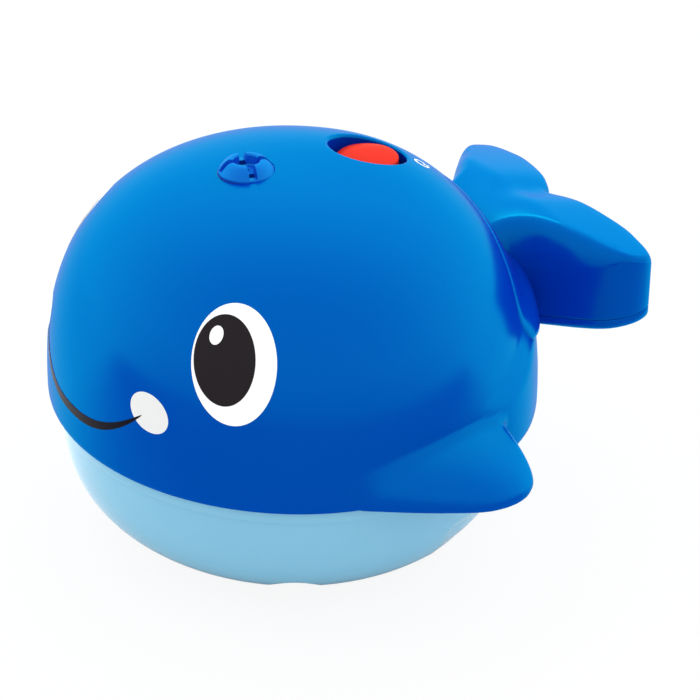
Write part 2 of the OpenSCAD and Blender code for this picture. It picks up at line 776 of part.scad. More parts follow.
module spout_ring() {
    translate([0, 0, petal_low_z]) cylinder(r = spout_r, h = petal_foot_h, $fn = round_fn);
    translate([0, 0, neck_low_z]) cylinder(r = spout_neck_r, h = petal_low_z - neck_low_z, $fn = round_fn);
    translate([0, 0, petal_low_z + petal_foot_h]) intersection() {
        scale([1, 1, petal_h / petal_roll])
            rotate_extrude($fn = round_fn) translate([petal_mid_r, 0]) circle(r = petal_roll, $fn = small_fn);
        cylinder(r = spout_r + over, h = petal_h + over, $fn = round_fn);
    }
    translate([0, 0, petal_low_z + petal_foot_h]) cylinder(r = dish_r, h = dish_h, $fn = round_fn);
}

module spout_slots() {
    for (a = [0 : 90 : 270]) rotate([0, 0, a + slot_turn]) {
        translate([dish_r - slot_w / 2, -slot_w / 2, petal_low_z + petal_foot_h - touch_gap])
            cube([spout_r, slot_w, petal_h + over]);
        translate([dish_r - touch_gap, -vent_w / 2, petal_low_z - over])
            cube([vent_w, vent_w, petal_foot_h + 2 * over]);
    }
}

module spout_cap() {
    color(blue) translate([0, spout_y, 0]) difference() {
        spout_ring();
        translate([0, 0, neck_low_z - over])
            cylinder(r = spout_neck_r - neck_wall, h = petal_low_z - neck_low_z, $fn = round_fn);
        translate([0, 0, petal_low_z - 2 * over])
            cylinder(r = jet_r, h = petal_foot_h + dish_h + 3 * over, $fn = bore_fn);
        spout_slots();
    }
}

module spout_seal() {
    color(dark) translate([0, spout_y, seat_z])
        tube(spout_r - touch_gap, spout_neck_r + touch_gap, spout_seal_h);
}

module spout_cup() {
    color(pale) difference() {
        union() {
            translate([0, spout_y, cup_low_z]) cylinder(r = cup_r, h = cup_top_z - cup_low_z, $fn = round_fn);
            translate([0, tube_y, cup_low_z - spigot_l])
                cylinder(r = spigot_r, h = spigot_l + cup_wall / 2, $fn = small_fn);
        }
        translate([0, spout_y, cup_low_z + cup_wall])
            cylinder(r = cup_r - cup_wall, h = neck_low_z - cup_low_z - cup_wall, $fn = round_fn);
        translate([0, spout_y, neck_low_z - over])
            cylinder(r = spout_neck_r + slip_gap, h = cup_top_z - neck_low_z + 2 * over, $fn = round_fn);
        translate([0, tube_y, cup_low_z - spigot_l - over])
            cylinder(r = spigot_bore_r, h = spigot_l + cup_wall + 2 * over, $fn = bore_fn);
    }
}

module water_tube() {
    color(white) translate([0, tube_y, elbow_top_z])
        tube(tube_r, tube_bore_r, cup_low_z - touch_gap - elbow_top_z);
}

// Pump and motor

module pump_housing() {
    arm = tube_y - pump_y;
    color(dark) difference() {
        union() {
            translate([0, pump_y, pump_low_z]) cylinder(r = pump_r, h = pump_h, $fn = round_fn);
            translate([0, pump_y + chamber_r, elbow_z]) rotate([-90, 0, 0])
                cylinder(r = elbow_arm_r, h = arm - chamber_r, $fn = small_fn);
            translate([0, tube_y, elbow_z - elbow_foot])
                cylinder(r = elbow_r, h = elbow_top_z - elbow_z + elbow_foot, $fn = small_fn);
            translate([0, tube_y, elbow_z])
                cylinder(r = spigot_r, h = elbow_top_z - elbow_z + spigot_l, $fn = small_fn);
        }
        translate([0, pump_y, pump_low_z - over])
            cylinder(r = chamber_r, h = pump_h - pump_roof + over, $fn = round_fn);
        translate([0, pump_y, pump_low_z]) cylinder(r = shaft_r + slip_gap, h = pump_h + over, $fn = bore_fn);
        translate([0, pump_y, elbow_z]) rotate([-90, 0, 0]) cylinder(r = spigot_bore_r, h = arm, $fn = bore_fn);
        translate([0, tube_y, elbow_z])
            cylinder(r = spigot_bore_r, h = elbow_top_z - elbow_z + spigot_l + over, $fn = bore_fn);
    }
}

module pump_cover() {
    color(dark) translate([0, pump_y, pump_low_z]) tube(chamber_r - slip_gap, pump_eye_r, pump_cover_h);
}

module inlet_strainer() {
    color(dark) translate([0, pump_y, strainer_z]) difference() {
        cylinder(r = inlet_r - slip_gap, h = strainer_h, $fn = round_fn);
        for (i = [-2 : 2]) let(x = i * strainer_pitch, half = sqrt(pow(strainer_slot_r, 2) - x * x))
            translate([x - strainer_slot_w / 2, -half, -over])
                cube([strainer_slot_w, 2 * half, strainer_h + 2 * over]);
    }
}

module impeller() {
    color(white) translate([0, pump_y, impeller_low_z]) difference() {
        union() {
            cylinder(r = impeller_hub_r, h = impeller_hub_h, $fn = small_fn);
            cylinder(r = impeller_r, h = impeller_disc_h, $fn = round_fn);
            for (a = [0 : 60 : 300]) rotate([0, 0, a]) translate([0, -impeller_vane_w / 2, 0])
                cube([impeller_r - touch_gap, impeller_vane_w, impeller_vane_h]);
        }
        translate([0, 0, -over]) cylinder(r = shaft_r, h = impeller_hub_h + 2 * over, $fn = bore_fn);
    }
}

module motor_shaft() {
    color(metal) translate([0, pump_y, shaft_low_z])
        cylinder(r = shaft_r, h = shaft_top_z - shaft_low_z, $fn = bore_fn);
}

module motor_can() {
    flat = motor_r * motor_flat_share;
    color(metal) translate([0, pump_y, motor_low_z]) difference() {
        union() {
            intersection() {
                cylinder(r = motor_r, h = motor_h, $fn = round_fn);
                translate([-motor_r, -flat, -over]) cube([2 * motor_r, 2 * flat, motor_h + 2 * over]);
            }
            for (x = [-motor_tab_x, motor_tab_x])
                translate([x - motor_tab_w / 2, -motor_tab_t / 2, motor_h])
                    cube([motor_tab_w, motor_tab_t, motor_tab_h]);
        }
        translate([0, 0, -over]) cylinder(r = shaft_r + slip_gap, h = motor_h, $fn = bore_fn);
    }
}

module motor_clip() {
    color(dark) translate([0, pump_y, pump_top_z]) difference() {
        cylinder(r = motor_r + clip_wall, h = clip_h, $fn = round_fn);
        translate([0, 0, clip_floor]) cylinder(r = motor_r + slip_gap, h = clip_h, $fn = round_fn);
        translate([0, 0, -over]) cylinder(r = clip_eye_r, h = clip_floor + 2 * over, $fn = small_fn);
    }
}

// Button and switch

module button_cap() {
    side_h = cap_h - cap_crown_h;
    color(red) translate([0, button_y, cap_low_z]) difference() {
        union() {
            cylinder(r = button_r, h = side_h, $fn = round_fn);
            translate([0, 0, side_h]) intersection() {
                scale([1, 1, cap_crown_h / button_r]) sphere(r = button_r, $fn = round_fn);
                cylinder(r = button_r + over, h = cap_crown_h + over, $fn = round_fn);
            }
            translate([0, 0, stem_low_z - cap_low_z])
                cylinder(r = stem_r, h = cap_h - cap_roof + cap_low_z - stem_low_z + over, $fn = small_fn);
        }
        translate([0, 0, -over]) tube(button_r - cap_wall, stem_r, cap_h - cap_roof + over);
    }
}

module button_spring() {
    color(metal) translate([0, button_y, well_floor_z])
        coil(spring_turns, spring_mean_r, spring_wire_r, cap_top_z - cap_roof - well_floor_z);
}

module stem_seal() {
    color(dark) translate([0, button_y, well_floor_z - well_wall - stem_seal_h])
        tube(stem_seal_r, stem_r + slip_gap, stem_seal_h);
}

module switch_plunger() {
    color(white) translate([0, button_y, plunger_low_z])
        cylinder(r = plunger_r, h = stem_low_z - plunger_low_z, $fn = small_fn);
}

module switch_body() {
    color(dark) translate([0, button_y, board_top_z]) difference() {
        translate([-switch_w / 2, -switch_w / 2, 0]) cube([switch_w, switch_w, switch_h]);
        translate([0, 0, switch_floor]) cylinder(r = plunger_r + slip_gap, h = switch_h, $fn = small_fn);
    }
}

module circuit_board() {
    color(board_green) difference() {
        translate([-board_half_x, button_y - board_half_y, board_low_z])
            cube([2 * board_half_x, 2 * board_half_y, board_h]);
        board_post_places(board_low_z - over) cylinder(r = board_hole_r, h = board_h + 2 * over, $fn = bore_fn);
    }
}

module board_screws() {
    color(metal) board_post_places(board_low_z)
        screw(board_screw_head_r, board_screw_head_h, board_screw_r, board_screw_l);
}

// Power

module battery_cells() {
    color(metal) for (side = [-1, 1]) translate([0, bay_y + side * cell_pitch / 2, cell_axis_z])
        rotate([0, side * 90, 0]) translate([0, 0, contact_x - cell_l]) {
            cylinder(r = cell_d / 2, h = cell_l - cell_nub_h, $fn = round_fn);
            translate([0, 0, cell_l - cell_nub_h]) cylinder(r = cell_nub_r, h = cell_nub_h, $fn = small_fn);
        }
}

module contact_springs() {
    color(metal) for (side = [-1, 1]) translate([side * -contact_x, bay_y + side * cell_pitch / 2, cell_axis_z])
        rotate([0, side * 90, 0]) coil(contact_turns, contact_mean_r, contact_wire_r, 2 * contact_x - cell_l);
}

module contact_plates() {
    half = bay_half_y - plate_edge;
    color(metal) for (side = [-1, 1]) translate([side * plate_x - plate_t / 2, bay_y, plate_low_z]) {
        translate([0, -half, 0]) cube([plate_t, 2 * half, cell_d - plate_edge]);
        translate([0, -tab_w / 2, 0]) cube([plate_t, tab_w, tab_top_z - plate_low_z]);
    }
}

module bay_lid() {
    slot_w = plate_t + 2 * seat_gap;
    slot_l = tab_w + 2 * seat_gap;
    color(pale) difference() {
        translate([-bay_out_x, bay_y - bay_out_y, bay_top_z]) cube([2 * bay_out_x, 2 * bay_out_y, bay_lid_h]);
        for (side = [-1, 1]) translate([side * plate_x - slot_w / 2, bay_y - slot_l / 2, bay_top_z - over])
            cube([slot_w, slot_l, bay_lid_h + 2 * over]);
    }
}

module battery_door() {
    color(pale) difference() {
        union() {
            door_outline(0, door_h);
            translate([0, bay_y, 0]) rounded_plate(bay_half_x - seat_gap, bay_half_y - seat_gap,
                lip_corner_r, door_h + door_lip);
        }
        translate([door_tab_x, bay_y, -over]) {
            cylinder(r = door_screw_r + touch_gap, h = door_h + 2 * over, $fn = small_fn);
            cylinder(r = door_screw_head_r + touch_gap, h = door_screw_seat_z + over, $fn = small_fn);
        }
    }
}

module door_seal() {
    color(dark) translate([0, bay_y, door_h]) difference() {
        rounded_plate(bay_half_x + seal_edge, bay_half_y + seal_edge, seal_corner_r, door_seal_h);
        translate([0, 0, -over])
            rounded_plate(bay_half_x, bay_half_y, lip_corner_r, door_seal_h + 2 * over);
    }
}

module door_screw() {
    color(metal) translate([door_tab_x, bay_y, door_screw_seat_z])
        screw(door_screw_head_r, door_screw_head_h, door_screw_r, door_screw_l);
}

module power_wires() {
    color(red) on_both_sides() wire(power_route);
}

module motor_wires() {
    color(dark) on_both_sides() wire(motor_route);
}

upper_shell();
lower_hull();
hull_seal();
shell_screws();
tail_top();
tail_cover();
tail_screws();
spout_cap();
spout_seal();
spout_cup();
water_tube();
pump_housing();
pump_cover();
inlet_strainer();
impeller();
motor_shaft();
motor_can();
motor_clip();
button_cap();
button_spring();
stem_seal();
switch_plunger();
switch_body();
circuit_board();
board_screws();
battery_cells();
contact_springs();
contact_plates();
bay_lid();
battery_door();
door_seal();
door_screw();
power_wires();
motor_wires();
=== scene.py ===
"""Bath whale that squirts water: the skins, prints, finishes, camera and light round its fixed frame."""

import math

import bpy
import numpy as np
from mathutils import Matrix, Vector
from mathutils.geometry import delaunay_2d_cdt


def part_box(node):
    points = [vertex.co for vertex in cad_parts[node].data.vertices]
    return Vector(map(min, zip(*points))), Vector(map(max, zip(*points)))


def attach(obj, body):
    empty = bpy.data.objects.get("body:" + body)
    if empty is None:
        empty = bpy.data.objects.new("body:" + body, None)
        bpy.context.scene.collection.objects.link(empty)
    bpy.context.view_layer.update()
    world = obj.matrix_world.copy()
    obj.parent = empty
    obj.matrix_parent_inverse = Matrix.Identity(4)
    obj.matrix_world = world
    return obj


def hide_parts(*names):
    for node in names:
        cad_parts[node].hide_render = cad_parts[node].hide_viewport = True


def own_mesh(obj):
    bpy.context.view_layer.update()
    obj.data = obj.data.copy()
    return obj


bl_info = {
    "name": "Bath whale",
    "version": (1, 0, 0),
    "blender": (4, 5, 0),
    "location": "View3D > Sidebar > Whale",
    "description": "Builds the skins, prints and finishes of a water-squirting bath whale",
    "category": "Object",
}

MM = 0.001

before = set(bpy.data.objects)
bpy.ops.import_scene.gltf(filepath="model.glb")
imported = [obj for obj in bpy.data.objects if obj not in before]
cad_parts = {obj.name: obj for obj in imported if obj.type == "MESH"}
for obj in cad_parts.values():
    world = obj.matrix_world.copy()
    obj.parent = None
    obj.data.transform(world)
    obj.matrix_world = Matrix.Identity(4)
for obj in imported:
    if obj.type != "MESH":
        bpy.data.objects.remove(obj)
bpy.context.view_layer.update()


def corner(node, side, axis):
    """One side of a CAD node's box along an axis, in metres."""
    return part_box(node)[side][axis]


def middle(node, axis):
    """Middle of a CAD node's box along an axis."""
    return (corner(node, 0, axis) + corner(node, 1, axis)) / 2


BUTTON_Y = middle("button_cap", 1)


def linear(hex_colour):
    """An sRGB hex colour as linear red, green and blue."""
    values = [int(hex_colour[i:i + 2], 16) / 255 for i in (1, 3, 5)]
    return tuple(v / 12.92 if v <= 0.04045 else ((v + 0.055) / 1.055) ** 2.4 for v in values)


def length(name, text, value, low=0.0, high=0.5):
    return bpy.props.FloatProperty(name=name, description=text, default=value, min=low, max=high,
                                   precision=5, unit="LENGTH")


def share(name, text, value, low=0.0, high=10.0):
    return bpy.props.FloatProperty(name=name, description=text, default=value, min=low, max=high)


def colour(name, text, hex_colour):
    return bpy.props.FloatVectorProperty(name=name, description=text, subtype="COLOR", size=3, min=0,
                                         max=1, default=linear(hex_colour))


# Sizes and colours

class BodySizes(bpy.types.PropertyGroup):
    """The whale's body: dome, swollen rear and pale hull."""
    half_w: length("Half width", "Half width at the widest level", 76.4 * MM)
    half_l: length("Half length", "Half length without the tail", 71.5 * MM)
    top_z: length("Dome top", "Height of the dome's top", 119.1 * MM)
    widest_z: length("Widest level", "Height of the widest level", 46.45 * MM)
    belt_z: length("Belt", "Height of the joint between shell and hull", corner("upper_shell", 0, 2))
    side_power: share("Side roundness", "Roundness of the dome seen from the front", 2.38)
    end_power: share("End roundness", "Roundness of the dome seen from the side", 2.535)
    hull_power: share("Hull roundness", "Roundness of the pale hull", 2.95)
    base_share: share("Base", "How nearly the hull's curve closes at its base", 0.978)
    skirt_drop: length("Skirt", "Depth of the curve below the widest level", 20.15 * MM)
    wall: length("Wall", "Wall of both shells", 2.4 * MM)
    hull_inset: length("Hull inset", "Step from the blue shell in to the hull", 3.2 * MM)
    rump_depth: length("Rump", "How far the rear stands out below its crease", 3.1 * MM)
    crease_z: length("Crease", "Height of the crease at its front ends", 65 * MM)
    crease_rise: length("Crease rise", "Rise of the crease toward the tail", 20 * MM)
    crease_roll: length("Crease roll", "Height over which the rear swells out", 8 * MM)
    crease_soft: share("Crease softness", "Softness of the crease's edge, as a share of its roll", 0.16)
    swell: length("Swell", "Rise of the dome round the button", 1.2 * MM)
    swell_r: length("Swell reach", "Radius of that rise", 34 * MM)
    band_h: length("Band", "Height of the proud band under the blue edge", 4.3 * MM)
    band_inset: length("Band inset", "Step from the blue shell in to the band", 2.2 * MM)
    recess_depth: length("Side recess", "Depth of the shallow recess in the hull's sides", 1 * MM)
    drain_depth: length("Drain flute", "Depth of the flutes that let the hull drain", 2 * MM)


class FinSizes(bpy.types.PropertyGroup):
    """The two fins."""
    reach: length("Reach", "Reach from the body's middle plane", 93.4 * MM)
    height: length("Height", "Height above the belt inside the body", 19.2 * MM)
    back_y: length("Back", "Level face at the back", 34 * MM)
    run: length("Length", "Length along the body", 54 * MM)
    root_x: length("Root", "Inner end of the fin, inside the body", 55 * MM)
    start_x: length("Start", "Half width where the leading edge starts", 71.5 * MM)
    edge_r: length("Edge radius", "Radius of the fin's soft edges", 2.6 * MM)
    blend: length("Root blend", "Reach of the soft crease between fin and body", 3 * MM)


class TailSizes(bpy.types.PropertyGroup):
    """The tail, its cover and its flange on the body."""
    half_span: length("Half span", "Half span of the flukes", corner("tail_cover", 1, 0))
    back_y: length("Back", "Rearmost point of the flukes", 102.5 * MM)
    front_y: length("Front", "Where the tail's form starts, inside the body", 56 * MM)
    start_y: length("Start", "Where the tail leaves the body", 73 * MM)
    top_z: length("Top", "Height of the top where it leaves the body", 94.6 * MM)
    low_z: length("Underside", "Height of the underside where it leaves the body", 58.1 * MM)
    cover_h: length("Cover", "Depth of the separate cover", 3.5 * MM)
    side_fall: length("Side fall", "How much lower the fluke tips are than the middle", 4 * MM)
    neck_fall: share("Neck fall", "Slope of the top down toward the body in front of the flukes", 0.4)
    valley: length("Valley", "Depth of the soft valley between the flukes", 1.6 * MM)
    front_roll: length("Front roll", "Depth of the soft top edge at the front", 12 * MM)
    rear_roll: length("Rear roll", "Depth of the soft top edge at the back", 3.2 * MM)
    roll_share: share("Roll width", "Width of the soft top edge over its depth", 0.5)
    wall: length("Wall", "Wall of the tail", 2.2 * MM)
    collar_gap: length("Flange gap", "Gap between the flange and the body", 0.4 * MM)
    collar_lift: length("Flange", "Thickness of the flange", 1.5 * MM)
    collar_show: length("Flange rise", "How far the flange's soft face stands out from the body", 1.5 * MM)


class TopSizes(bpy.types.PropertyGroup):
    """Spout and push button on the dome."""
    spout_y: length("Spout place", "Distance of the spout along the body", -13 * MM, -0.1)
    spout_r: length("Spout", "Radius of the spout's ring", 8.3 * MM)
    spout_rise: length("Spout rise", "How far the petals stand higher than the plain cap", 1.4 * MM)
    spout_rim: length("Spout rim", "Radius of the soft edge round the spout's seat", 0.12 * MM)
    slot_w: length("Slot", "Width of the spout's slots", 2.4 * MM)
    button_r: length("Button", "Radius of the button", 9.4 * MM)
    button_travel: length("Button travel", "How far the button goes down", 2 * MM)
    button_edge: length("Button edge", "Radius of the button's edge", 0.9 * MM)
    button_rise: length("Button rise", "Extra height of the button's soft crown", 0.85 * MM)
    well_gap: length("Well gap", "Gap round the button", 2.2 * MM)
    well_rim: length("Well rim", "Radius of the soft edge round the well", 1.5 * MM)


class FaceSizes(bpy.types.PropertyGroup):
    """Printed face: places on the dome are given on the left side and mirrored."""
    film: length("Film", "Thickness of a printed layer", 0.03 * MM)
    smile_x: length("Smile", "Half width of the smile", 31 * MM)
    smile_shift: length("Smile shift", "How far the printed smile lies off the middle", 1.5 * MM)
    smile_w: length("Smile line", "Greatest width of the smile's line", 2.7 * MM)
    mark_r: length("Mark", "Radius of the power sign", 2 * MM)


class WhaleColours(bpy.types.PropertyGroup):
    """Colours of the plastics and prints."""
    blue: colour("Blue", "Shell, fins and tail", "#002CAC")
    pale: colour("Pale blue", "Hull", "#81C2DF")
    red: colour("Red", "Push button", "#D92C21")
    eye_white: colour("Eye white", "White of the eyes", "#FFFFFF")
    ink: colour("Ink", "Pupils", "#252124")
    cheek: colour("Cheek", "Cheeks", "#E6E7E6")
    smile: colour("Smile", "Line of the smile", "#120E1C")
    floor: colour("Floor", "Floor and backdrop", "#F0F0F0")


GROUPS = {"whale_body": BodySizes, "whale_fins": FinSizes, "whale_tail": TailSizes, "whale_top": TopSizes,
          "whale_face": FaceSizes, "whale_colours": WhaleColours}


def sizes(group):
    return getattr(bpy.context.scene, group)


# Node and material helpers

def add_node(tree, kind, inputs=(), **settings):
    """Adds a node with its settings; inputs, by name or number, hold a value or a socket to link from."""
    node = tree.nodes.new(kind)
    for key, value in settings.items():
        setattr(node, key, value)
    for key, value in dict(inputs).items():
        if isinstance(value, bpy.types.NodeSocket):
            tree.links.new(value, node.inputs[key])
        else:
            node.inputs[key].default_value = value
    return node


def empty_tree(owner):
    """The node tree of a material or world, emptied."""
    owner.use_nodes = True
    owner.node_tree.nodes.clear()
    return owner.node_tree


def new_material(name):
    """A material with its own tree and the Principled node that finishes it, or one made before."""
    old = bpy.data.materials.get(name)
    if old:
        return old, None, None
    mat = bpy.data.materials.new(name)
    tree = empty_tree(mat)
    shader = add_node(tree, "ShaderNodeBsdfPrincipled")
    add_node(tree, "ShaderNodeOutputMaterial", {"Surface": shader.outputs[0]})
    return mat, tree, shader


def set_inputs(shader, values):
    for key, value in values.items():
        shader.inputs[key].default_value = value


def per_metre(size_mm):
    """Noise scale that gives features of about this size in millimetres."""
    return 1 / (size_mm * MM)


def opaque(colour_values):
    return tuple(colour_values) + (1,)


def soft_variation(tree, shader, base, drift_mm, drift, ripple_mm, ripple, rough, rough_spread):
    """Slow drift of a colour, uneven roughness and a fine ripple, all from the object's own place."""
    place = add_node(tree, "ShaderNodeTexCoord").outputs["Object"]
    slow = add_node(tree, "ShaderNodeTexNoise",
                    {"Vector": place, "Scale": per_metre(drift_mm), "Detail": 3.0}).outputs["Fac"]
    dark = opaque(c * (1 - drift) for c in base)
    light = opaque(min(1, c * (1 + drift)) for c in base)
    tone = add_node(tree, "ShaderNodeMix", {"Factor": slow, 6: dark, 7: light}, data_type="RGBA")
    uneven = add_node(tree, "ShaderNodeMapRange",
                      {"Value": slow, "To Min": rough - rough_spread, "To Max": rough + rough_spread})
    fine = add_node(tree, "ShaderNodeTexNoise",
                    {"Vector": place, "Scale": per_metre(ripple_mm), "Detail": 2.0})
    bump = add_node(tree, "ShaderNodeBump",
                    {"Height": fine.outputs["Fac"], "Strength": ripple, "Distance": 0.1 * MM})
    tree.links.new(tone.outputs[2], shader.inputs["Base Color"])
    tree.links.new(uneven.outputs[0], shader.inputs["Roughness"])
    tree.links.new(bump.outputs[0], shader.inputs["Normal"])
    return uneven.outputs[0], bump.outputs[0]


# ABS, moulded in a polished tool: clear gloss with slow waves. The pigment is purer than a screen can show,
# so its gloss carries the pigment's tint, which keeps the colour deep where the whale mirrors white light
def moulded_abs(name, base, rough=0.2, tint=(1, 1, 1), gloss=0.0, graze_tint=(1, 1, 1)):
    mat, tree, shader = new_material(name)
    if not tree:
        return mat
    set_inputs(shader, {"IOR": 1.54, "Specular IOR Level": 0.0})
    uneven, bumped = soft_variation(tree, shader, base, 45, 0.025, 3.5, 0.05, rough, 0.025)
    fresnel = add_node(tree, "ShaderNodeFresnel", {"Normal": bumped, "IOR": 1.62}).outputs[0]
    graze = add_node(tree, "ShaderNodeMapRange", {"Value": fresnel, "From Min": 0.12, "From Max": 0.6},
                     interpolation_type="SMOOTHSTEP")
    shine = add_node(tree, "ShaderNodeMix",
                     {"Factor": graze.outputs[0], 6: opaque(tint), 7: opaque(graze_tint)}, data_type="RGBA")
    mirror = add_node(tree, "ShaderNodeBsdfGlossy",
                      {"Normal": bumped, "Roughness": uneven, "Color": shine.outputs[2]})
    amount = add_node(tree, "ShaderNodeMapRange",
                      {"Value": fresnel, "To Min": gloss, "To Max": 0.5 if gloss else 1.0})
    mix = add_node(tree, "ShaderNodeMixShader",
                   {"Fac": amount.outputs[0], 1: shader.outputs[0], 2: mirror.outputs[0]})
    output = next(n for n in tree.nodes if n.bl_idname == "ShaderNodeOutputMaterial")
    tree.links.new(mix.outputs[0], output.inputs["Surface"])
    return mat


# Finishes by how they were made: shader inputs, the drift's size in mm and share, the ripple's size in mm and
# strength, and the roughness and its spread
FINISHES = {
    # ABS or acetal from a spark-eroded tool: a fine even grain that kills the gloss
    "eroded": ({"IOR": 1.53}, 20, 0.05, 0.35, 0.25, 0.45, 0.06),
    # Pad-printed ink, cured: flatter than the plastic, with the pad's faint mottling
    "pad_printed": ({"IOR": 1.4, "Specular IOR Level": 0.08}, 9, 0.008, 1.2, 0.04, 0.28, 0.03),
    # Silicone rubber, compression moulded: dull, slightly uneven
    "silicone": ({"IOR": 1.41}, 12, 0.06, 0.6, 0.15, 0.55, 0.07),
    # PVC, extruded: a soft shine, with draw lines too fine to see one by one
    "extruded": ({"IOR": 1.53}, 15, 0.03, 0.8, 0.08, 0.3, 0.05),
    # The same, clear: milky, so that what lies behind shows dimly
    "extruded_clear": ({"IOR": 1.53, "Transmission Weight": 0.6}, 15, 0.03, 0.8, 0.08, 0.3, 0.05),
    # Steel wire, stampings and turned screws, plated: bright with fine tool marks
    "plated": ({"Metallic": 1.0}, 6, 0.06, 0.5, 0.12, 0.28, 0.08),
    # Glass-fibre board under solder mask: thin lacquer over a fine weave
    "solder_mask": ({"IOR": 1.5, "Coat Weight": 0.4, "Coat Roughness": 0.15}, 5, 0.12, 0.5, 0.1, 0.35, 0.06),
}


def finish(made, name, shade, rough=None):
    """A material made in one of the ways above, its colour as sRGB hex or from a colour property."""
    mat, tree, shader = new_material(name)
    if tree:
        base = linear(shade) if isinstance(shade, str) else tuple(shade)
        inputs, drift_mm, drift, ripple_mm, ripple, usual_rough, spread = FINISHES[made]
        set_inputs(shader, inputs)
        soft_variation(tree, shader, base, drift_mm, drift, ripple_mm, ripple, rough or usual_rough, spread)
    return mat


# Tint of the blue's gloss where the light grazes it
BLUE_GRAZE = (0.25, 0.58, 0.77)


def blue_abs():
    return moulded_abs("abs_moulded_polished_blue", tuple(sizes("whale_colours").blue), 0.22,
                       linear("#14F6FF"), 0.08, BLUE_GRAZE)


def satin_blue_abs():
    return moulded_abs("abs_moulded_satin_blue", linear("#0A42C4"), 0.34, linear("#30F0FF"), 0.11,
                       BLUE_GRAZE)


def pale_abs():
    return moulded_abs("abs_moulded_polished_pale", tuple(sizes("whale_colours").pale), 0.24)


def red_abs():
    return moulded_abs("abs_moulded_polished_red", tuple(sizes("whale_colours").red), 0.25,
                       linear("#FF6454"), 0.07, linear("#FFA090"))


# Mesh helpers

def make_object(name, verts, faces, material, smooth_angle=32.0):
    """A mesh object from points and faces in metres, shaded smooth up to an angle."""
    mesh = bpy.data.meshes.new(name)
    mesh.from_pydata([tuple(map(float, v)) for v in verts], [], faces)
    mesh.validate()
    piece = bpy.data.objects.new(name, mesh)
    bpy.context.scene.collection.objects.link(piece)
    for mat in (material if isinstance(material, (list, tuple)) else [material]):
        mesh.materials.append(mat)
    shade(mesh, smooth_angle)
    return piece


def shade(mesh, smooth_angle):
    mesh.shade_smooth()
    mesh.set_sharp_from_angle(angle=math.radians(smooth_angle))


def side_faces(count, levels):
    """Faces between rings of equal count that follow each other."""
    after = [(i + 1) % count for i in range(count)]
    return [(low + i, low + after[i], low + count + after[i], low + count + i)
            for low in range(0, (levels - 1) * count, count) for i in range(count)]


def loft(rings, flip=False):
    """Points and faces of a closed skin through rings, its ends closed with fans."""
    rings = [np.asarray(r, float) for r in rings]
    count = len(rings[0])
    verts = np.vstack(rings + [rings[0].mean(0), rings[-1].mean(0)])
    faces = side_faces(count, len(rings))
    first, end, base = len(verts) - 2, len(verts) - 1, len(verts) - 2 - count
    faces += [(first, (i + 1) % count, i) for i in range(count)]
    faces += [(end, base + i, base + (i + 1) % count) for i in range(count)]
    if flip:
        faces = [tuple(reversed(f)) for f in faces]
    return verts, faces


def merge(parts):
    """Several (points, faces) skins as one."""
    verts, faces, start = [], [], 0
    for points, polys in parts:
        verts.append(points)
        faces += [tuple(i + start for i in f) for f in polys]
        start += len(points)
    return np.vstack(verts), faces


def lathe(profile, centre=(0, 0), steps=96):
    """Closed skin turned about a vertical axis from (radius, height) points, low to high outside."""
    a = turns(steps)
    return loft([np.stack([centre[0] + r * np.cos(a), centre[1] + r * np.sin(a), np.full(steps, z)], 1)
                 for r, z in profile])


def arc(cx, cz, r, start, end):
    """Points of an arc in a lathe's profile, angles in degrees from outward."""
    return [(cx + r * math.cos(a), cz + r * math.sin(a)) for a in np.radians(np.linspace(start, end, 8))]


def settle(piece):
    """Bakes a piece's modifiers into its mesh."""
    graph = bpy.context.evaluated_depsgraph_get()
    mesh = bpy.data.meshes.new_from_object(piece.evaluated_get(graph))
    piece.modifiers.clear()
    old = piece.data
    piece.data = mesh
    bpy.data.meshes.remove(old)


def boolean(piece, other, operation="DIFFERENCE"):
    """Cuts, joins or meets a piece with a skin or with another piece, which is then removed."""
    if isinstance(other, tuple):
        other = cutter(*other)
    mod = piece.modifiers.new(operation.lower(), "BOOLEAN")
    mod.operation = operation
    mod.solver = "EXACT"
    mod.object = other
    settle(piece)
    bpy.data.objects.remove(other)


def cutter(verts, faces):
    """A temporary solid whose faces carry the second material slot, so that they're known after a cut."""
    mesh = bpy.data.meshes.new("cutter")
    mesh.from_pydata([tuple(map(float, v)) for v in verts], [], faces)
    for _ in range(2):
        mesh.materials.append(blue_abs())
    mesh.polygons.foreach_set("material_index", [1] * len(mesh.polygons))
    piece = bpy.data.objects.new("cutter", mesh)
    bpy.context.scene.collection.objects.link(piece)
    return piece


def box_skin(low, high):
    """Points and faces of an upright box."""
    (x0, y0, z0), (x1, y1, z1) = low, high
    verts = np.array([(x, y, z) for z in (z0, z1) for x, y in ((x0, y0), (x1, y0), (x1, y1), (x0, y1))])
    faces = [(0, 3, 2, 1), (4, 5, 6, 7), (0, 1, 5, 4), (1, 2, 6, 5), (2, 3, 7, 6), (3, 0, 4, 7)]
    return verts, faces


def mirrored(skin):
    """A skin mirrored to the other side of the whale."""
    verts, faces = skin
    return verts * np.array([-1, 1, 1]), [tuple(reversed(f)) for f in faces]


def bevel(piece, width):
    """Rounds a piece's sharp edges for good."""
    mod = piece.modifiers.new("soft_edges", "BEVEL")
    mod.width = width
    mod.segments = 2
    mod.limit_method = "ANGLE"
    mod.angle_limit = math.radians(35)
    settle(piece)


def place(piece, body, slot, *nodes):
    """Lets a piece ride with a body and stand for its CAD nodes; the slot is not used."""
    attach(piece, body)
    if nodes:
        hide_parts(*nodes)
    return piece


# Body form, shared by the shell, hull, tail flange and prints

def smooth(v):
    """Soft step from 0 to 1."""
    c = np.clip(v, 0, 1)
    return c * c * (3 - 2 * c)


def bow(v, power):
    """Quarter of a rounded square: 1 at 0, falling to 0 at 1."""
    return np.maximum(0, 1 - np.clip(v, 0, 1) ** power) ** (1 / power)


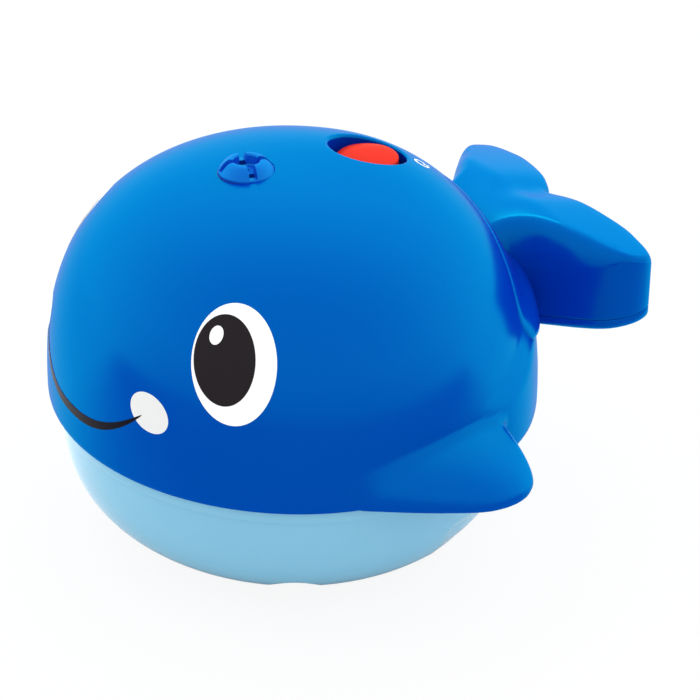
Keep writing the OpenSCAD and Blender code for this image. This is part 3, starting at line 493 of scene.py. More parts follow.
def dome_size(z, power, gap=0.0):
    """Plan size of the body at a level, 1 at the widest."""
    b = sizes("whale_body")
    above = bow((z - b.widest_z) / (b.top_z - gap - b.widest_z), power)
    below = bow((b.widest_z - z) / b.skirt_drop, 2)
    return np.where(z >= b.widest_z, above, below)


def rump(t, z):
    """How far the rear stands out below its crease, softened at the crease."""
    b = sizes("whale_body")
    turn = np.clip((np.sin(t) - 0.3) / 0.7, 0, 1)
    depth = (b.crease_z + b.crease_rise * turn ** 2 - z) / b.crease_roll
    s = np.clip((depth + np.sqrt(depth ** 2 + b.crease_soft ** 2)) / 2, 0, 1)
    return b.rump_depth * smooth((np.sin(t) - 0.12) / 0.6) * (1 - (1 - s) ** 2)


def swell(x, y):
    """Soft rise of the dome round the button."""
    b = sizes("whale_body")
    return b.swell * smooth(1 - np.hypot(x, y - BUTTON_Y) / b.swell_r)


def plan_size(z, gap=0.0):
    """Half width and half length of the dome at a height, without its rump."""
    b = sizes("whale_body")
    return ((b.half_w - gap) * dome_size(z, b.side_power, gap),
            (b.half_l - gap) * dome_size(z, b.end_power, gap))


def body_surface(t, z, gap=0.0):
    """Points of the blue body at turns t and heights z before its swell, drawn in by a gap."""
    t, z = np.broadcast_arrays(np.asarray(t, float), np.asarray(z, float))
    wide, long = plan_size(z, gap)
    out = rump(t, z)
    x, y = (wide + out) * np.cos(t), (long + out) * np.sin(t)
    return np.stack([x, y, z + swell(x, y)], -1)


SKIN_STEPS = 192


def turns(count):
    return np.linspace(0, 2 * math.pi, count, endpoint=False)


def dome_levels(count, gap=0.0):
    """Heights from the widest level to just under the top, even along the dome's curve."""
    b = sizes("whale_body")
    bend = np.linspace(0, 0.497 * math.pi, count)
    return b.widest_z + (b.top_z - gap - b.widest_z) * np.sin(bend) ** (2 / b.end_power)


def unswollen(points):
    """Points with the swell taken off again, and no higher than just under the dome's top."""
    b = sizes("whale_body")
    points = points.copy()
    points[:, 2] = np.minimum(points[:, 2] - swell(points[:, 0], points[:, 1]), b.top_z - 0.02 * MM)
    return points


def body_turn(points):
    """The turn at which a point of the body's surface lies, found by repeating."""
    x, y, z = points.T
    wide, long = plan_size(z)
    out = 0.0
    for _ in range(5):
        t = np.arctan2(y / np.maximum(long + out, 1e-6), x / np.maximum(wide + out, 1e-6))
        out = rump(t, z)
    return t


def unit_rows(v):
    """Vectors at length 1."""
    return v / np.maximum(np.linalg.norm(v, axis=-1, keepdims=True), 1e-12)


def body_normals(points):
    """Outward normals of the body's surface at points that lie on it."""
    b = sizes("whale_body")
    points = unswollen(points)
    t, z = body_turn(points), points[:, 2]
    step_z = np.minimum(0.05 * MM, (b.top_z - z) / 4)
    step_t = 1e-4
    along_t = body_surface(t + step_t, z) - body_surface(t - step_t, z)
    along_z = body_surface(t, z + step_z) - body_surface(t, z - step_z)
    return unit_rows(np.cross(along_t, along_z))


def body_level(points):
    """How far outside the dome points lie, 0 on its surface, for points above the belt."""
    points = unswollen(points)
    skin = body_surface(body_turn(points), points[:, 2])
    return np.linalg.norm(points[:, :2], axis=1) - np.linalg.norm(skin[:, :2], axis=1)


def dome_height(x, y):
    """Height of the dome above a place in plan."""
    b = sizes("whale_body")
    low, high = np.full(len(x), b.widest_z), np.full(len(x), b.top_z)
    for _ in range(40):
        mid = (low + high) / 2
        wide, long = plan_size(mid)
        out = (x / np.maximum(wide, 1e-9)) ** 2 + (y / np.maximum(long, 1e-9)) ** 2 > 1
        high = np.where(out, mid, high)
        low = np.where(out, low, mid)
    return (low + high) / 2 + swell(x, y)


def mesh_points(mesh):
    """A mesh's points, and which of them each face corner uses."""
    points = np.zeros(len(mesh.vertices) * 3)
    mesh.vertices.foreach_get("co", points)
    corners = np.zeros(len(mesh.loops), int)
    mesh.loops.foreach_get("vertex_index", corners)
    return points.reshape(-1, 3), corners


def corner_normals(mesh):
    """The normal that each face corner of a mesh is shaded with."""
    normals = np.zeros(len(mesh.loops) * 3)
    mesh.corner_normals.foreach_get("vector", normals)
    return normals.reshape(-1, 3)


def set_normals(mesh, normals):
    mesh.normals_split_custom_set([tuple(v) for v in normals])


def keep_normals(mesh, normals, belongs):
    """Gives a mesh's faces their form's normals where belongs says of a face and its points that it may."""
    corners = mesh_points(mesh)[1]
    loops = np.zeros((len(corners), 3))
    for poly in mesh.polygons:
        spots = corners[poly.loop_start:poly.loop_start + poly.loop_total]
        if belongs(poly, spots):
            loops[poly.loop_start:poly.loop_start + poly.loop_total] = normals[spots]
    set_normals(mesh, loops)


def keep_body_normals(mesh):
    """Shades faces that lie on the body's form by that form, so that cuts leave no dents."""
    points = mesh_points(mesh)[0]
    on_form = np.abs(body_level(points)) < 0.02 * MM
    normals = np.zeros_like(points)
    normals[on_form] = body_normals(points[on_form])
    keep_normals(mesh, normals, lambda poly, spots: poly.material_index == 0 and on_form[spots].all())


# Blue shell

def rimmed_cutter(x, y, r, floor_z, rim):
    """Solid that cuts a round seat into the dome: floor, wall and a soft rim that follows the dome."""
    a = turns(120)
    height = lambda radius: dome_height(x + radius * np.cos(a), y + radius * np.sin(a))
    ring = lambda radius, z: np.stack([x + radius * np.cos(a), y + radius * np.sin(a), z + 0 * a], 1)
    corner_z, rim_z = height(r), height(r + rim) + 0.04 * MM
    foot = 0.5 * MM
    rings = [ring(r * 0.6, floor_z), ring(r - foot, floor_z), ring(r - 0.3 * foot, floor_z + 0.3 * foot),
             ring(r, floor_z + foot)]
    start_z = np.maximum(corner_z - rim, floor_z + 1.2 * foot)
    for s in np.linspace(0, 1, 9):
        z = (1 - s) ** 2 * start_z + 2 * s * (1 - s) * corner_z + s * s * rim_z
        rings.append(ring(r + rim * s * s, z))
    beyond = r + rim * 1.5
    return loft(rings + [ring(beyond, height(beyond) + 0.4 * MM),
                         ring(beyond, sizes("whale_body").top_z + 4 * MM)])


# Leading edge and tip of the fin: shares of its run against shares of its reach beyond the start
FIN_EDGE = ((0, 0.0), (0.05, 0.16), (0.17, 0.35), (0.3, 0.55), (0.43, 0.73), (0.55, 0.88), (0.64, 0.98),
            (0.72, 1.01), (0.8, 1.005), (0.88, 0.95), (0.94, 0.85), (1, 0.68))


def fin_edge(s):
    """Half width of the fin's foot along its run, 0 at the front and 1 at the back face."""
    f = sizes("whale_fins")
    shares, reaches = np.array(FIN_EDGE).T
    return f.start_x + (f.reach - f.start_x) * sum(np.interp(s + d, shares, reaches)
                                                   for d in np.linspace(-0.05, 0.05, 9)) / 9


def fin_skin():
    """One fin: sections along the body with a rounded foot and a soft edge round the back face."""
    f, b = sizes("whale_fins"), sizes("whale_body")
    front, r = f.back_y - f.run, f.edge_r
    slope, back_fall, fall_y, fall_run = 0.07, 1.6 * MM, 18 * MM, 16 * MM
    # A little above the shell's lower edge, so that the two never share a plane
    base_z = b.belt_z + 0.05 * MM
    stations = [(s, 0.0) for s in np.linspace(0, 1 - r / f.run, 64)]
    stations += [(1 - r / f.run * (1 - math.sin(a)), r * (1 - math.cos(a)))
                 for a in np.radians([15, 30, 45, 60, 75, 90])]
    q = np.cos(np.linspace(0, 0.5 * math.pi, 40)) ** 1.1
    rings = []
    for s, draw in stations:
        y = front + s * f.run
        reach = float(fin_edge(s)) - f.root_x - draw
        rise = f.height - slope * y - back_fall * smooth((y - fall_y) / fall_run) - draw
        foot = 0.9 * r
        end_x = f.root_x + reach
        base = [[f.root_x, y, base_z], [end_x - foot, y, base_z]]
        under = [[end_x - foot * (1 - math.cos(a)), y, base_z + foot * (1 - math.sin(a))]
                 for a in np.radians([75, 55, 35, 18])]
        top_z = base_z + foot + (rise - foot) * bow(q, 1.8)
        rings.append(np.vstack([base, under, np.stack([f.root_x + reach * q, np.full(40, y), top_z], 1)]))
    return loft(rings, flip=True)


def blend_crease(shell, fin, reach):
    """Lets body and fin share their shading where they meet, as a moulded fillet does."""
    points, corners = mesh_points(shell.data)
    normals = corner_normals(shell.data)
    fin_points, fin_corners = mesh_points(fin.data)
    fin_normals = corner_normals(fin.data)
    summed = np.zeros_like(fin_points)
    np.add.at(summed, fin_corners, fin_normals)
    summed = unit_rows(summed)
    # The fin leans toward the body's normals near the body
    level = body_level(fin_points)
    skin = (level > -0.5 * reach) & (level < reach) & (fin_points[:, 2] > sizes("whale_body").belt_z + 3 * MM)
    weight = 0.5 * smooth(1 - np.clip(level, 0, None) / reach)
    leaning = unit_rows(fin_normals * (1 - weight[fin_corners, None])
                        + body_normals(fin_points)[fin_corners] * weight[fin_corners, None])
    usable = skin[fin_corners] & (fin_normals[:, 2] > 0.02)
    set_normals(fin.data, np.where(usable[:, None], leaning, fin_normals))
    # The body leans toward the normals of the fin's nearest point
    near = np.nonzero(skin)[0]
    low, high = fin_points.min(0) - reach, fin_points.max(0) + reach
    inside = np.nonzero(((points > low) & (points < high)).all(1))[0]
    gaps = np.linalg.norm(points[inside][:, None] - fin_points[near][None], axis=2)
    closest = gaps.argmin(1)
    part, target = np.zeros(len(points)), np.zeros_like(points)
    part[inside] = 0.5 * smooth(1 - gaps[np.arange(len(inside)), closest] / reach)
    target[inside] = summed[near[closest]]
    part = part[corners][:, None]
    set_normals(shell.data, unit_rows(normals * (1 - part) + target[corners] * part))


def shell_skin():
    """Closed skin of the dome with its wall, from the soft lower edge over the top and back inside."""
    b = sizes("whale_body")
    t = turns(SKIN_STEPS)
    edge = 0.5 * MM
    lip = [(b.belt_z, b.wall), (b.belt_z, edge)]
    lip += [(b.belt_z + edge * (1 - math.cos(a)), edge * (1 - math.sin(a))) for a in np.radians([30, 60])]
    lip += [(b.belt_z + edge, 0), (b.belt_z + 2 * edge, 0)]
    inner = [(z, b.wall) for z in dome_levels(16, b.wall)[::-1]]
    return loft([body_surface(t, z, gap) for z, gap in inner + lip + [(z, 0) for z in dome_levels(96)]])


def inner_block(gap):
    """Solid under the dome's surface, drawn in by a gap."""
    levels = [sizes("whale_body").belt_z, *dome_levels(28, gap)]
    return loft([body_surface(turns(96), z, gap) for z in levels])


def build_blue_shell():
    b, top = sizes("whale_body"), sizes("whale_top")
    well_r = top.button_r + top.well_gap
    well_floor = corner("button_spring", 0, 2)
    seat_z = corner("spout_seal", 0, 2)
    well, seat = (0, BUTTON_Y), (0, top.spout_y)
    blue = blue_abs()
    shell = make_object("blue_shell", *shell_skin(), [blue, blue])
    boss_wall, seat_wall, seat_floor = 2.2 * MM, 0.8 * MM, 3.6 * MM
    bosses = [lathe([(r, low), (r, b.top_z)], centre)
              for r, low, centre in ((well_r + boss_wall, well_floor - boss_wall, well),
                                     (top.spout_r + seat_wall, seat_z - seat_floor, seat))]
    bosses = cutter(*merge(bosses))
    boolean(bosses, inner_block(b.wall / 2), "INTERSECT")
    boolean(shell, bosses, "UNION")
    boolean(shell, rimmed_cutter(*well, well_r, well_floor, top.well_rim))
    boolean(shell, rimmed_cutter(*seat, top.spout_r - 0.05 * MM, seat_z, top.spout_rim))
    stem_r, neck_r = 2.5 * MM, 6.5 * MM
    boolean(shell, lathe([(stem_r, well_floor - 4 * MM), (stem_r, well_floor + 2 * MM)], well, 48))
    boolean(shell, lathe([(neck_r, seat_z - 5 * MM), (neck_r, seat_z + 2 * MM)], seat, 64))
    shade(shell.data, 32)
    keep_body_normals(shell.data)
    place(shell, "whale", "blue_shell", "upper_shell")
    for side, skin in (("left", fin_skin()), ("right", mirrored(fin_skin()))):
        fin = make_object(f"{side}_fin", *skin, blue, 50)
        blend_crease(shell, fin, sizes("whale_fins").blend)
        place(fin, "whale", "blue_shell")


# Pale hull

def hull_size(z):
    """Plan size of the hull at a height, 1 at the belt."""
    b = sizes("whale_body")
    return bow((b.belt_z - z) / b.belt_z * b.base_share, b.hull_power)


def hull_surface(t, z, inset, gap=0.0, recess=True):
    """Points of the hull at turns t and heights z; gap draws them in square to the skin."""
    b = sizes("whale_body")
    t, z = np.broadcast_arrays(np.asarray(t, float), np.asarray(z, float))
    k = hull_size(z)
    side = smooth(k)
    out = rump(t, b.belt_z + 0 * t) * (z / b.belt_z) ** 1.5
    if recess:
        out = out - b.recess_depth * side_recess(t, z)
    return np.stack([((b.half_w - inset) * k - gap * side + out) * np.cos(t),
                     ((b.half_l - inset) * k - gap * side + out) * np.sin(t),
                     z + gap * np.sqrt(1 - side * side)], -1)


# The shallow recess in each of the hull's sides: turns in degrees from straight out, and heights in mm
RECESS_TURNS, RECESS_LEVELS = (15, 41), (11, 27)


def side_recess(t, z):
    """1 inside the recess and 0 outside it, with soft edges."""
    turn, level = np.degrees(np.arctan2(np.sin(t), np.abs(np.cos(t)))), z / MM
    (start, end), (low, high) = RECESS_TURNS, RECESS_LEVELS
    return smooth((turn - start) / 1.4) * smooth((end - turn) / 2) * smooth((level - low) / 2.5) \
        * smooth((high - level) / 2.5)


def rounded_rectangle(half_x, half_y, r, y):
    """Plan outline of a rectangle with round corners."""
    return np.array([(cx * (half_x - r) + r * math.cos(a), y + cy * (half_y - r) + r * math.sin(a))
                     for cx, cy, start in ((1, 1, 0), (-1, 1, 90), (-1, -1, 180), (1, -1, 270))
                     for a in np.radians(np.linspace(start, start + 90, 10))])


def prism(outline, low, high):
    """Solid over a plan outline."""
    return loft([np.column_stack([outline, np.full(len(outline), z)]) for z in (low, high)])


def bore(x, y, r, top, steps=48):
    """Upright bar that cuts a round hole into the hull from below."""
    return lathe([(r, -MM), (r, top)], (x, y), steps)


FLUTE_TURNS = (-26, 206)


def hull_skin():
    """Closed skin of the hull: inside, tongue, proud band and outside down to the base."""
    b = sizes("whale_body")
    t = turns(SKIN_STEPS)
    edge, tongue_in, tongue_out = 0.35 * MM, 5 * MM, 2.7 * MM
    above, below = b.belt_z - 0.3 * MM, b.belt_z - b.band_h
    rows = [(above, b.band_inset + edge), (above - 0.3 * edge, b.band_inset + 0.3 * edge),
            (above - edge, b.band_inset), (below + edge, b.band_inset),
            (below + 0.3 * edge, b.band_inset + 0.3 * edge), (below, b.band_inset + edge),
            (below - 0.1 * MM, b.hull_inset)]
    outer = [hull_surface(t, z, inset, recess=False) for z, inset in rows]
    bend = np.sin(0.5 * math.pi * np.linspace(0.02, 1, 64)) ** 1.2
    outer += [hull_surface(t, below * (1 - s), b.hull_inset) for s in bend]
    inner = [hull_surface(t, below * (1 - s), b.hull_inset, b.wall, False)
             for s in np.linspace(0, 1, 14)[::-1] ** 0.6]
    inner = [ring for ring in inner if ring[:, 2].max() < below]
    tongue_z = b.belt_z + 4.8 * MM
    tongue = [body_surface(t, tongue_z, tongue_in), body_surface(t, tongue_z, tongue_out),
              body_surface(t, above, tongue_out)]
    return loft(inner + tongue + outer, flip=True)


def build_pale_hull():
    door_low, door_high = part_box("battery_door")
    bay_low, bay_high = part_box("bay_lid")
    screw_low, screw_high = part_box("shell_screws")
    pale = pale_abs()
    hull = make_object("pale_hull", *hull_skin(), [pale, pale])
    gap, wall = 0.35 * MM, 1.8 * MM
    half_x, half_y = -door_low.x, (door_high.y - door_low.y) / 2
    bay_y = middle("door_seal", 1)
    recess_top = corner("door_seal", 1, 2)
    pad = rounded_rectangle(half_x + 2 * MM, half_y + 2 * MM, 8 * MM, bay_y)
    recess = rounded_rectangle(half_x + gap, half_y + gap, 6 * MM + gap, bay_y)
    head_r, post_r, inlet_r, inlet_top = 4.4 * MM + gap, 3.2 * MM, 6.2 * MM, 9 * MM
    boolean(hull, prism(pad, 2 * MM, recess_top + 1.8 * MM), "UNION")
    boolean(hull, box_skin((bay_low.x, bay_low.y, recess_top + MM), (bay_high.x, bay_high.y, bay_low.z)),
            "UNION")
    boolean(hull, prism(recess, -MM, recess_top))
    boolean(hull, bore(middle("door_screw", 0), bay_y, head_r, recess_top))
    boolean(hull, box_skin((bay_low.x + wall, bay_low.y + wall, -MM),
                           (bay_high.x - wall, bay_high.y - wall, bay_low.z + MM)))
    post_x, post_y = screw_high.x - 2.9 * MM, screw_high.y - 2.9 * MM
    for x in (-post_x, post_x):
        for y in (-post_y, post_y):
            boolean(hull, bore(x, y, post_r, screw_low.z + 2 * MM))
    boolean(hull, bore(0, middle("inlet_strainer", 1), inlet_r, inlet_top, 64))
    for turn in np.radians(FLUTE_TURNS):
        boolean(hull, flute_skin(turn))
    shade(hull.data, 28)
    place(hull, "whale", "pale_hull", "lower_hull")


def flute_skin(turn):
    """A long round bar lying square to the hull's lower bend, which cuts a shallow drain flute."""
    b = sizes("whale_body")
    r, half_l, tilt = 22 * MM, 12 * MM, math.radians(-28)
    place_r, z = b.half_l - 17 * MM, 7 * MM
    a = turns(160)
    side, up = r * np.cos(a), b.drain_depth - r + r * np.sin(a)
    rings = []
    for along in (-half_l, half_l):
        out = along * math.cos(tilt) + up * math.sin(tilt) + place_r
        rings.append(np.stack([out * math.cos(turn) - side * math.sin(turn),
                               out * math.sin(turn) + side * math.cos(turn),
                               -along * math.sin(tilt) + up * math.cos(tilt) + z], 1))
    return loft(rings)


# Tail

# Half of the tail's outline from front to back: shares of its half span against shares of its length
TAIL_SHARES = ((0, 0), (0.344, 0.043), (0.43, 0.215), (0.505, 0.315), (0.624, 0.41), (0.785, 0.53),
               (0.903, 0.635), (0.968, 0.73), (1, 0.84), (0.982, 0.94), (0.903, 0.981), (0.774, 0.996),
               (0.624, 1), (0.43, 0.963), (0.258, 0.92), (0.172, 0.89), (0.086, 0.849), (0, 0.785))


def curve_through(points, steps):
    """Closed smooth curve through points."""
    points = np.asarray(points, float)
    before, after, beyond = (np.roll(points, shift, 0)[:, None] for shift in (1, -1, -2))
    here, s = points[:, None], (np.arange(steps) / steps)[:, None]
    curve = 0.5 * (2 * here + (after - before) * s + (2 * before - 5 * here + 4 * after - beyond) * s ** 2
                   + (3 * here - before - 3 * after + beyond) * s ** 3)
    return curve.reshape(-1, 2)


def tail_loop(steps=6):
    """The tail's whole outline in plan."""
    k = sizes("whale_tail")
    half = [(x * k.half_span, k.front_y + y * (k.back_y - k.front_y)) for x, y in TAIL_SHARES]
    return curve_through(half + [(-x, y) for x, y in half[-2:0:-1]], steps)


def tail_low(y):
    """Height of the tail's underside."""
    k = sizes("whale_tail")
    return k.low_z + 0.2 * (y - k.start_y)


def tail_high(x, y):
    """Height of the tail's crown, before its edges roll off."""
    k = sizes("whale_tail")
    slope, neck_lead, neck_run, valley_w, valley_run = 0.25, 7 * MM, 17 * MM, 8 * MM, 20 * MM
    neck = k.neck_fall * np.maximum(k.start_y + neck_lead - y, 0) ** 1.5 / neck_run ** 0.5
    valley = k.valley * np.exp(-(x / valley_w) ** 2) * smooth((y - k.start_y + valley_run / 2) / valley_run)
    return k.top_z - slope * (y - k.start_y) - k.side_fall * (x / k.half_span) ** 2 - neck - valley


def tail_roll(y):
    """Depth of the tail's soft top edge, from deep at the front to shallow at the back."""
    k = sizes("whale_tail")
    lead, run = 6 * MM, 14 * MM
    return k.front_roll + (k.rear_roll - k.front_roll) * smooth((y - k.start_y - lead) / run)


def drawn_in(loop, inset):
    """A tail outline drawn in square to itself."""
    along = unit_rows(np.roll(loop, -1, 0) - np.roll(loop, 1, 0))
    return loop + np.asarray(inset).reshape(-1, 1) * np.stack([-along[:, 1], along[:, 0]], 1)


def low_ring(loop, inset, lift):
    """The outline drawn in and lifted above the underside."""
    plan = drawn_in(loop, np.full(len(loop), inset))
    return np.column_stack([plan, tail_low(loop[:, 1]) + lift])


def tail_height(x, y):
    """Height of the tail's top: its crown, less the soft roll by each point of the outline nearby."""
    edge_x, edge_y = tail_loop(18).T
    depth = tail_roll(edge_y)
    drop = np.zeros(len(x))
    for part in np.array_split(np.arange(len(x)), 1 + len(x) // 2000):
        gaps = np.hypot(x[part, None] - edge_x, y[part, None] - edge_y)
        near = np.clip(1 - gaps / (depth * sizes("whale_tail").roll_share), 0, 1)
        drop[part] = (depth * (1 - np.sqrt(1 - near ** 2))).max(1)
    return tail_high(x, y) - drop


def tail_normals(points):
    """Upward normals of the tail's top."""
    x, y, step = points[:, 0], points[:, 1], 0.3 * MM
    slope_x = (tail_height(x + step, y) - tail_height(x - step, y)) / (2 * step)
    slope_y = (tail_height(x, y + step) - tail_height(x, y - step)) / (2 * step)
    return unit_rows(np.stack([-slope_x, -slope_y, np.ones(len(x))], 1))


def plan_points(loop, shares, pitch):
    """Points inside a plan outline: rows that follow it closely and a grid within them."""
    width = tail_roll(loop[:, 1]) * sizes("whale_tail").roll_share
    kept = []
    for depth in [width * s for s in shares]:
        row = drawn_in(loop, depth)
        gaps = np.linalg.norm(row[:, None] - loop[None], axis=2).min(1)
        kept.append(row[gaps > depth * 0.96])
    low, high = loop.min(0), loop.max(0)
    grid = np.stack(np.meshgrid(np.arange(low[0], high[0], pitch), np.arange(low[1], high[1], pitch)),
                    -1).reshape(-1, 2)
    grid = grid[within(grid, loop)]
    gaps = np.linalg.norm(grid[:, None] - loop[None], axis=2)
    width = width * max(shares)
    kept.append(grid[(gaps > np.maximum(width.max() * 0.4 + pitch * 0.5, width + 0.4 * pitch)).all(1)])
    return np.vstack(kept)


def within(points, outline):
    """Which plan points lie inside an outline."""
    hits = np.zeros(len(points), int)
    after = np.roll(outline, -1, 0)
    for (x0, y0), (x1, y1) in zip(outline, after):
        crosses = (y0 > points[:, 1]) != (y1 > points[:, 1])
        hits += crosses & (points[:, 0] < (x1 - x0) * (points[:, 1] - y0) / (y1 - y0 + 1e-15) + x0)
    return hits % 2 == 1


def filled(outline, inner=()):
    """Plan points and triangles that fill an outline; the outline's own points come first."""
    points = [Vector(p) for p in outline] + [Vector(p) for p in inner]
    count = len(outline)
    edges = [(i, (i + 1) % count) for i in range(count)]
    _, _, faces, origins, _, _ = delaunay_2d_cdt(points, edges, [], 1, 1e-7)
    order = {new: old[0] for new, old in enumerate(origins)}
    plan = np.array([tuple(v) for v in points])
    return plan, [tuple(order[i] for i in face) for face in faces]


def capped(rings, top, top_faces, base_faces):
    """A closed skin: triangles below, rings, and triangles above whose points start with the last ring."""
    count, start = len(rings[0]), (len(rings) - 1) * len(rings[0])
    faces = [tuple(reversed(face)) for face in base_faces] + side_faces(count, len(rings))
    return np.vstack(rings[:-1] + [top]), faces + [tuple(i + start for i in face) for face in top_faces]


def keep_tail_normals(mesh):
    """Shades the faces of the tail's top and of its upright wall by their own form."""
    points = mesh_points(mesh)[0]
    on_top = np.abs(points[:, 2] - tail_height(points[:, 0], points[:, 1])) < 0.02 * MM
    fine = tail_loop(36)
    gaps = np.linalg.norm(points[:, None, :2] - fine[None], axis=2)
    wall, nearest = gaps.min(1) < 0.15 * MM, gaps.argmin(1)
    normals = tail_normals(points)
    along = unit_rows(np.roll(fine, -2, 0) - np.roll(fine, 2, 0))[nearest[wall]]
    normals[wall] = np.column_stack([along[:, 1], -along[:, 0], np.zeros(len(along))])
    keep_normals(mesh, normals, lambda poly, spots: on_top[spots].all()
                 or (wall[spots].all() and abs(poly.normal.z) < 0.3))


def build_tail():
    k = sizes("whale_tail")
    loop = tail_loop()
    blue = blue_abs()
    seam = k.cover_h + 0.05 * MM
    edge = 0.4 * MM
    shares = [1 - math.cos(math.radians(a)) for a in range(10, 91, 10)]
    plan, faces = filled(loop, plan_points(loop, shares, 2.6 * MM))
    top = np.column_stack([plan, tail_height(plan[:, 0], plan[:, 1])])
    base = filled(loop)[1]
    rings = [low_ring(loop, edge, seam), low_ring(loop, 0.3 * edge, seam + 0.3 * edge),
             low_ring(loop, 0, seam + edge), top[:len(loop)]]
    tail = make_object("tail_skin", *capped(rings, top, faces, base), [blue, blue], 60)
    inner_loop = drawn_in(loop, np.full(len(loop), k.wall))[::3]
    plan, faces = filled(inner_loop)
    lid = np.column_stack([plan, tail_height(plan[:, 0], plan[:, 1]) - k.wall])
    hollow = [np.column_stack([inner_loop, tail_low(inner_loop[:, 1])]), lid[:len(inner_loop)]]
    boolean(tail, capped(hollow, lid, faces, faces))
    boolean(tail, inner_block(-0.05 * MM))
    shade(tail.data, 40)
    keep_tail_normals(tail.data)
    place(tail, "whale", "blue_shell", "tail_top")
    place(make_object("tail_flange", *collar_skin(), blue, 80), "whale", "blue_shell")
    base_r = 1.6 * MM
    rows = [low_ring(loop, base_r * (1 - math.sin(a)), base_r * (1 - math.cos(a)))
            for a in np.radians([0, 22, 45, 68, 90])]
    rows += [low_ring(loop, 0, k.cover_h - edge), low_ring(loop, 0.3 * edge, k.cover_h - 0.3 * edge),
             low_ring(loop, edge, k.cover_h)]
    cover = make_object("cover_skin", *capped(rows, rows[-1], base, base), [blue, blue], 50)
    boolean(cover, inner_block(-k.collar_gap - k.collar_lift - 0.3 * MM))
    shade(cover.data, 40)
    place(cover, "whale", "blue_shell", "tail_cover")


def collar_point(turn, size, lift):
    """Point of the flange over the body at a turn round its own middle."""
    k = sizes("whale_tail")
    across = size * np.cos(turn)
    half = (k.top_z - k.low_z) / 2 + 4.25 * MM
    fall = np.where(np.sin(turn) < 0, 1 - 0.75 * np.cos(turn) ** 2, 1)
    z = (k.top_z + k.low_z) / 2 + 2.75 * MM - 9 * MM * across ** 2 + half * size * np.sin(turn) * fall
    return body_surface(np.radians(90 - 41 * across), z, -lift)


def collar_skin():
    """The flange that lies on the body and thins out toward the top of the tail."""
    k = sizes("whale_tail")
    a = turns(160)
    rise = k.collar_show * (0.25 + 0.75 * smooth((0.75 - np.sin(a)) / 0.9))
    sunk = -0.3 * MM
    under = [collar_point(a, s, sunk) for s in (0.2, 0.45, 0.7, 0.9, 1.0)]
    edge = [collar_point(a, 1 - 0.11 * (1 - math.cos(b)), rise * math.sin(b))
            for b in np.radians([0, 15, 30, 45, 60, 75, 90])]
    over = [collar_point(a, s, rise) for s in np.linspace(0.86, 0.06, 14)]
    return loft(under + edge + over, flip=True)


# Spout

def build_spout():
    top = sizes("whale_top")
    low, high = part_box("spout_cap")
    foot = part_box("spout_seal")[1].z
    r, neck, crest = top.spout_r, 6.4 * MM, 4.7 * MM
    crest_z = high.z + top.spout_rise
    dish_z = foot + 0.7 * MM
    flank_r, flank_z = r - 0.1 * MM, foot + 0.8 * MM
    profile = [(neck - 1.8 * MM, low.z), (neck, low.z), (neck, foot), (r - 0.2 * MM, foot),
               (r, foot + 0.1 * MM), (r, foot + 0.6 * MM), (flank_r, flank_z)]
    profile += [(flank_r - (flank_r - crest) * s,
                 flank_z + (crest_z - flank_z) * math.sin(0.5 * math.pi * s) ** 0.95)
                for s in np.linspace(0.05, 0.92, 14)]
    profile += arc(crest - 0.2 * MM, crest_z - 0.7 * MM, 0.7 * MM, 70, 175)
    profile += [(3.6 * MM, dish_z + 0.3 * MM), (3.3 * MM, dish_z), (1.1 * MM, dish_z + 0.1 * MM),
                (0.85 * MM, dish_z - 0.1 * MM), (0.8 * MM, dish_z - 1.2 * MM)]
    blue = satin_blue_abs()
    spout = make_object("spout_ring", *lathe(profile, (0, top.spout_y), 128), [blue, blue])
    w = top.slot_w / 2
    hole_in, hole_out, hole_w, hole_z, slack = 3.4 * MM, 6.2 * MM, w - 0.1 * MM, foot - 1.3 * MM, 0.02 * MM
    # Painted shade: black plates set low in the jet holes stand in for the shade down the holes
    dark = finish("silicone", "painted_shade_deep_black", "#050507")
    slots = np.radians(np.array([0, 90, 180, 270]) - 12)
    for a in slots:
        boolean(spout, slot_skin(a, 2.9 * MM, 10 * MM, w, foot + 0.9 * MM, crest_z + MM))
    bevel(spout, 0.2 * MM)
    for a in slots:
        boolean(spout, slot_skin(a, hole_in, hole_out, hole_w, hole_z, crest_z))
    shade(spout.data, 40)
    place(spout, "whale", "blue_shell", "spout_cap")
    # Painted shade plates for the four jet holes and the middle hole
    shade_plates = [slot_skin(a, hole_in + slack, hole_out - slack, hole_w - slack, hole_z + 0.05 * MM,
                       foot - 0.6 * MM) for a in slots]
    shade_plates.append(lathe([(0.84 * MM, dish_z - MM), (0.84 * MM, dish_z - 0.9 * MM)], (0, top.spout_y), 24))
    for name, skin in zip((*range(4), "middle"), shade_plates):
        place(make_object(f"jet_hole_painted_shade_{name}", *skin, dark), "whale", "black_plastic")


def slot_skin(turn, near, far, half_w, low, high):
    """A box beside the spout's axis, turned round it."""
    verts, faces = box_skin((near, -half_w, low), (far, half_w, high))
    x, y, z = verts.T
    c, s = math.cos(turn), math.sin(turn)
    return np.stack([x * c - y * s, sizes("whale_top").spout_y + x * s + y * c, z], 1), faces


# Button

def build_button():
    top = sizes("whale_top")
    low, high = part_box("button_cap")
    r, e, crown = top.button_r, top.button_edge, 1.1 * MM
    stem, wall = 2.4 * MM, 1.6 * MM
    skirt_z, roof = high.z - 8.4 * MM, high.z - 4.4 * MM
    profile = [(stem - 0.4 * MM, low.z), (stem, low.z + 0.4 * MM), (stem, roof), (r - wall, roof),
               (r - wall, skirt_z), (r - 0.2 * MM, skirt_z), (r, skirt_z + 0.2 * MM)]
    top_z = high.z + top.button_rise
    profile += arc(r - e, top_z - crown - e, e, 0, 78)
    profile += [((r - 0.8 * e) * s, top_z - crown * s ** 2.2 * 0.98) for s in np.linspace(0.9, 0.02, 16)]
    cap = make_object("red_button", *lathe(profile, (0, BUTTON_Y), 128), red_abs(), 50)
    place(cap, "button", "red_button", "button_cap")


SPRING_TURNS, SPRING_STEPS, SPRING_WIRE_R = 5, 36, 0.4 * MM


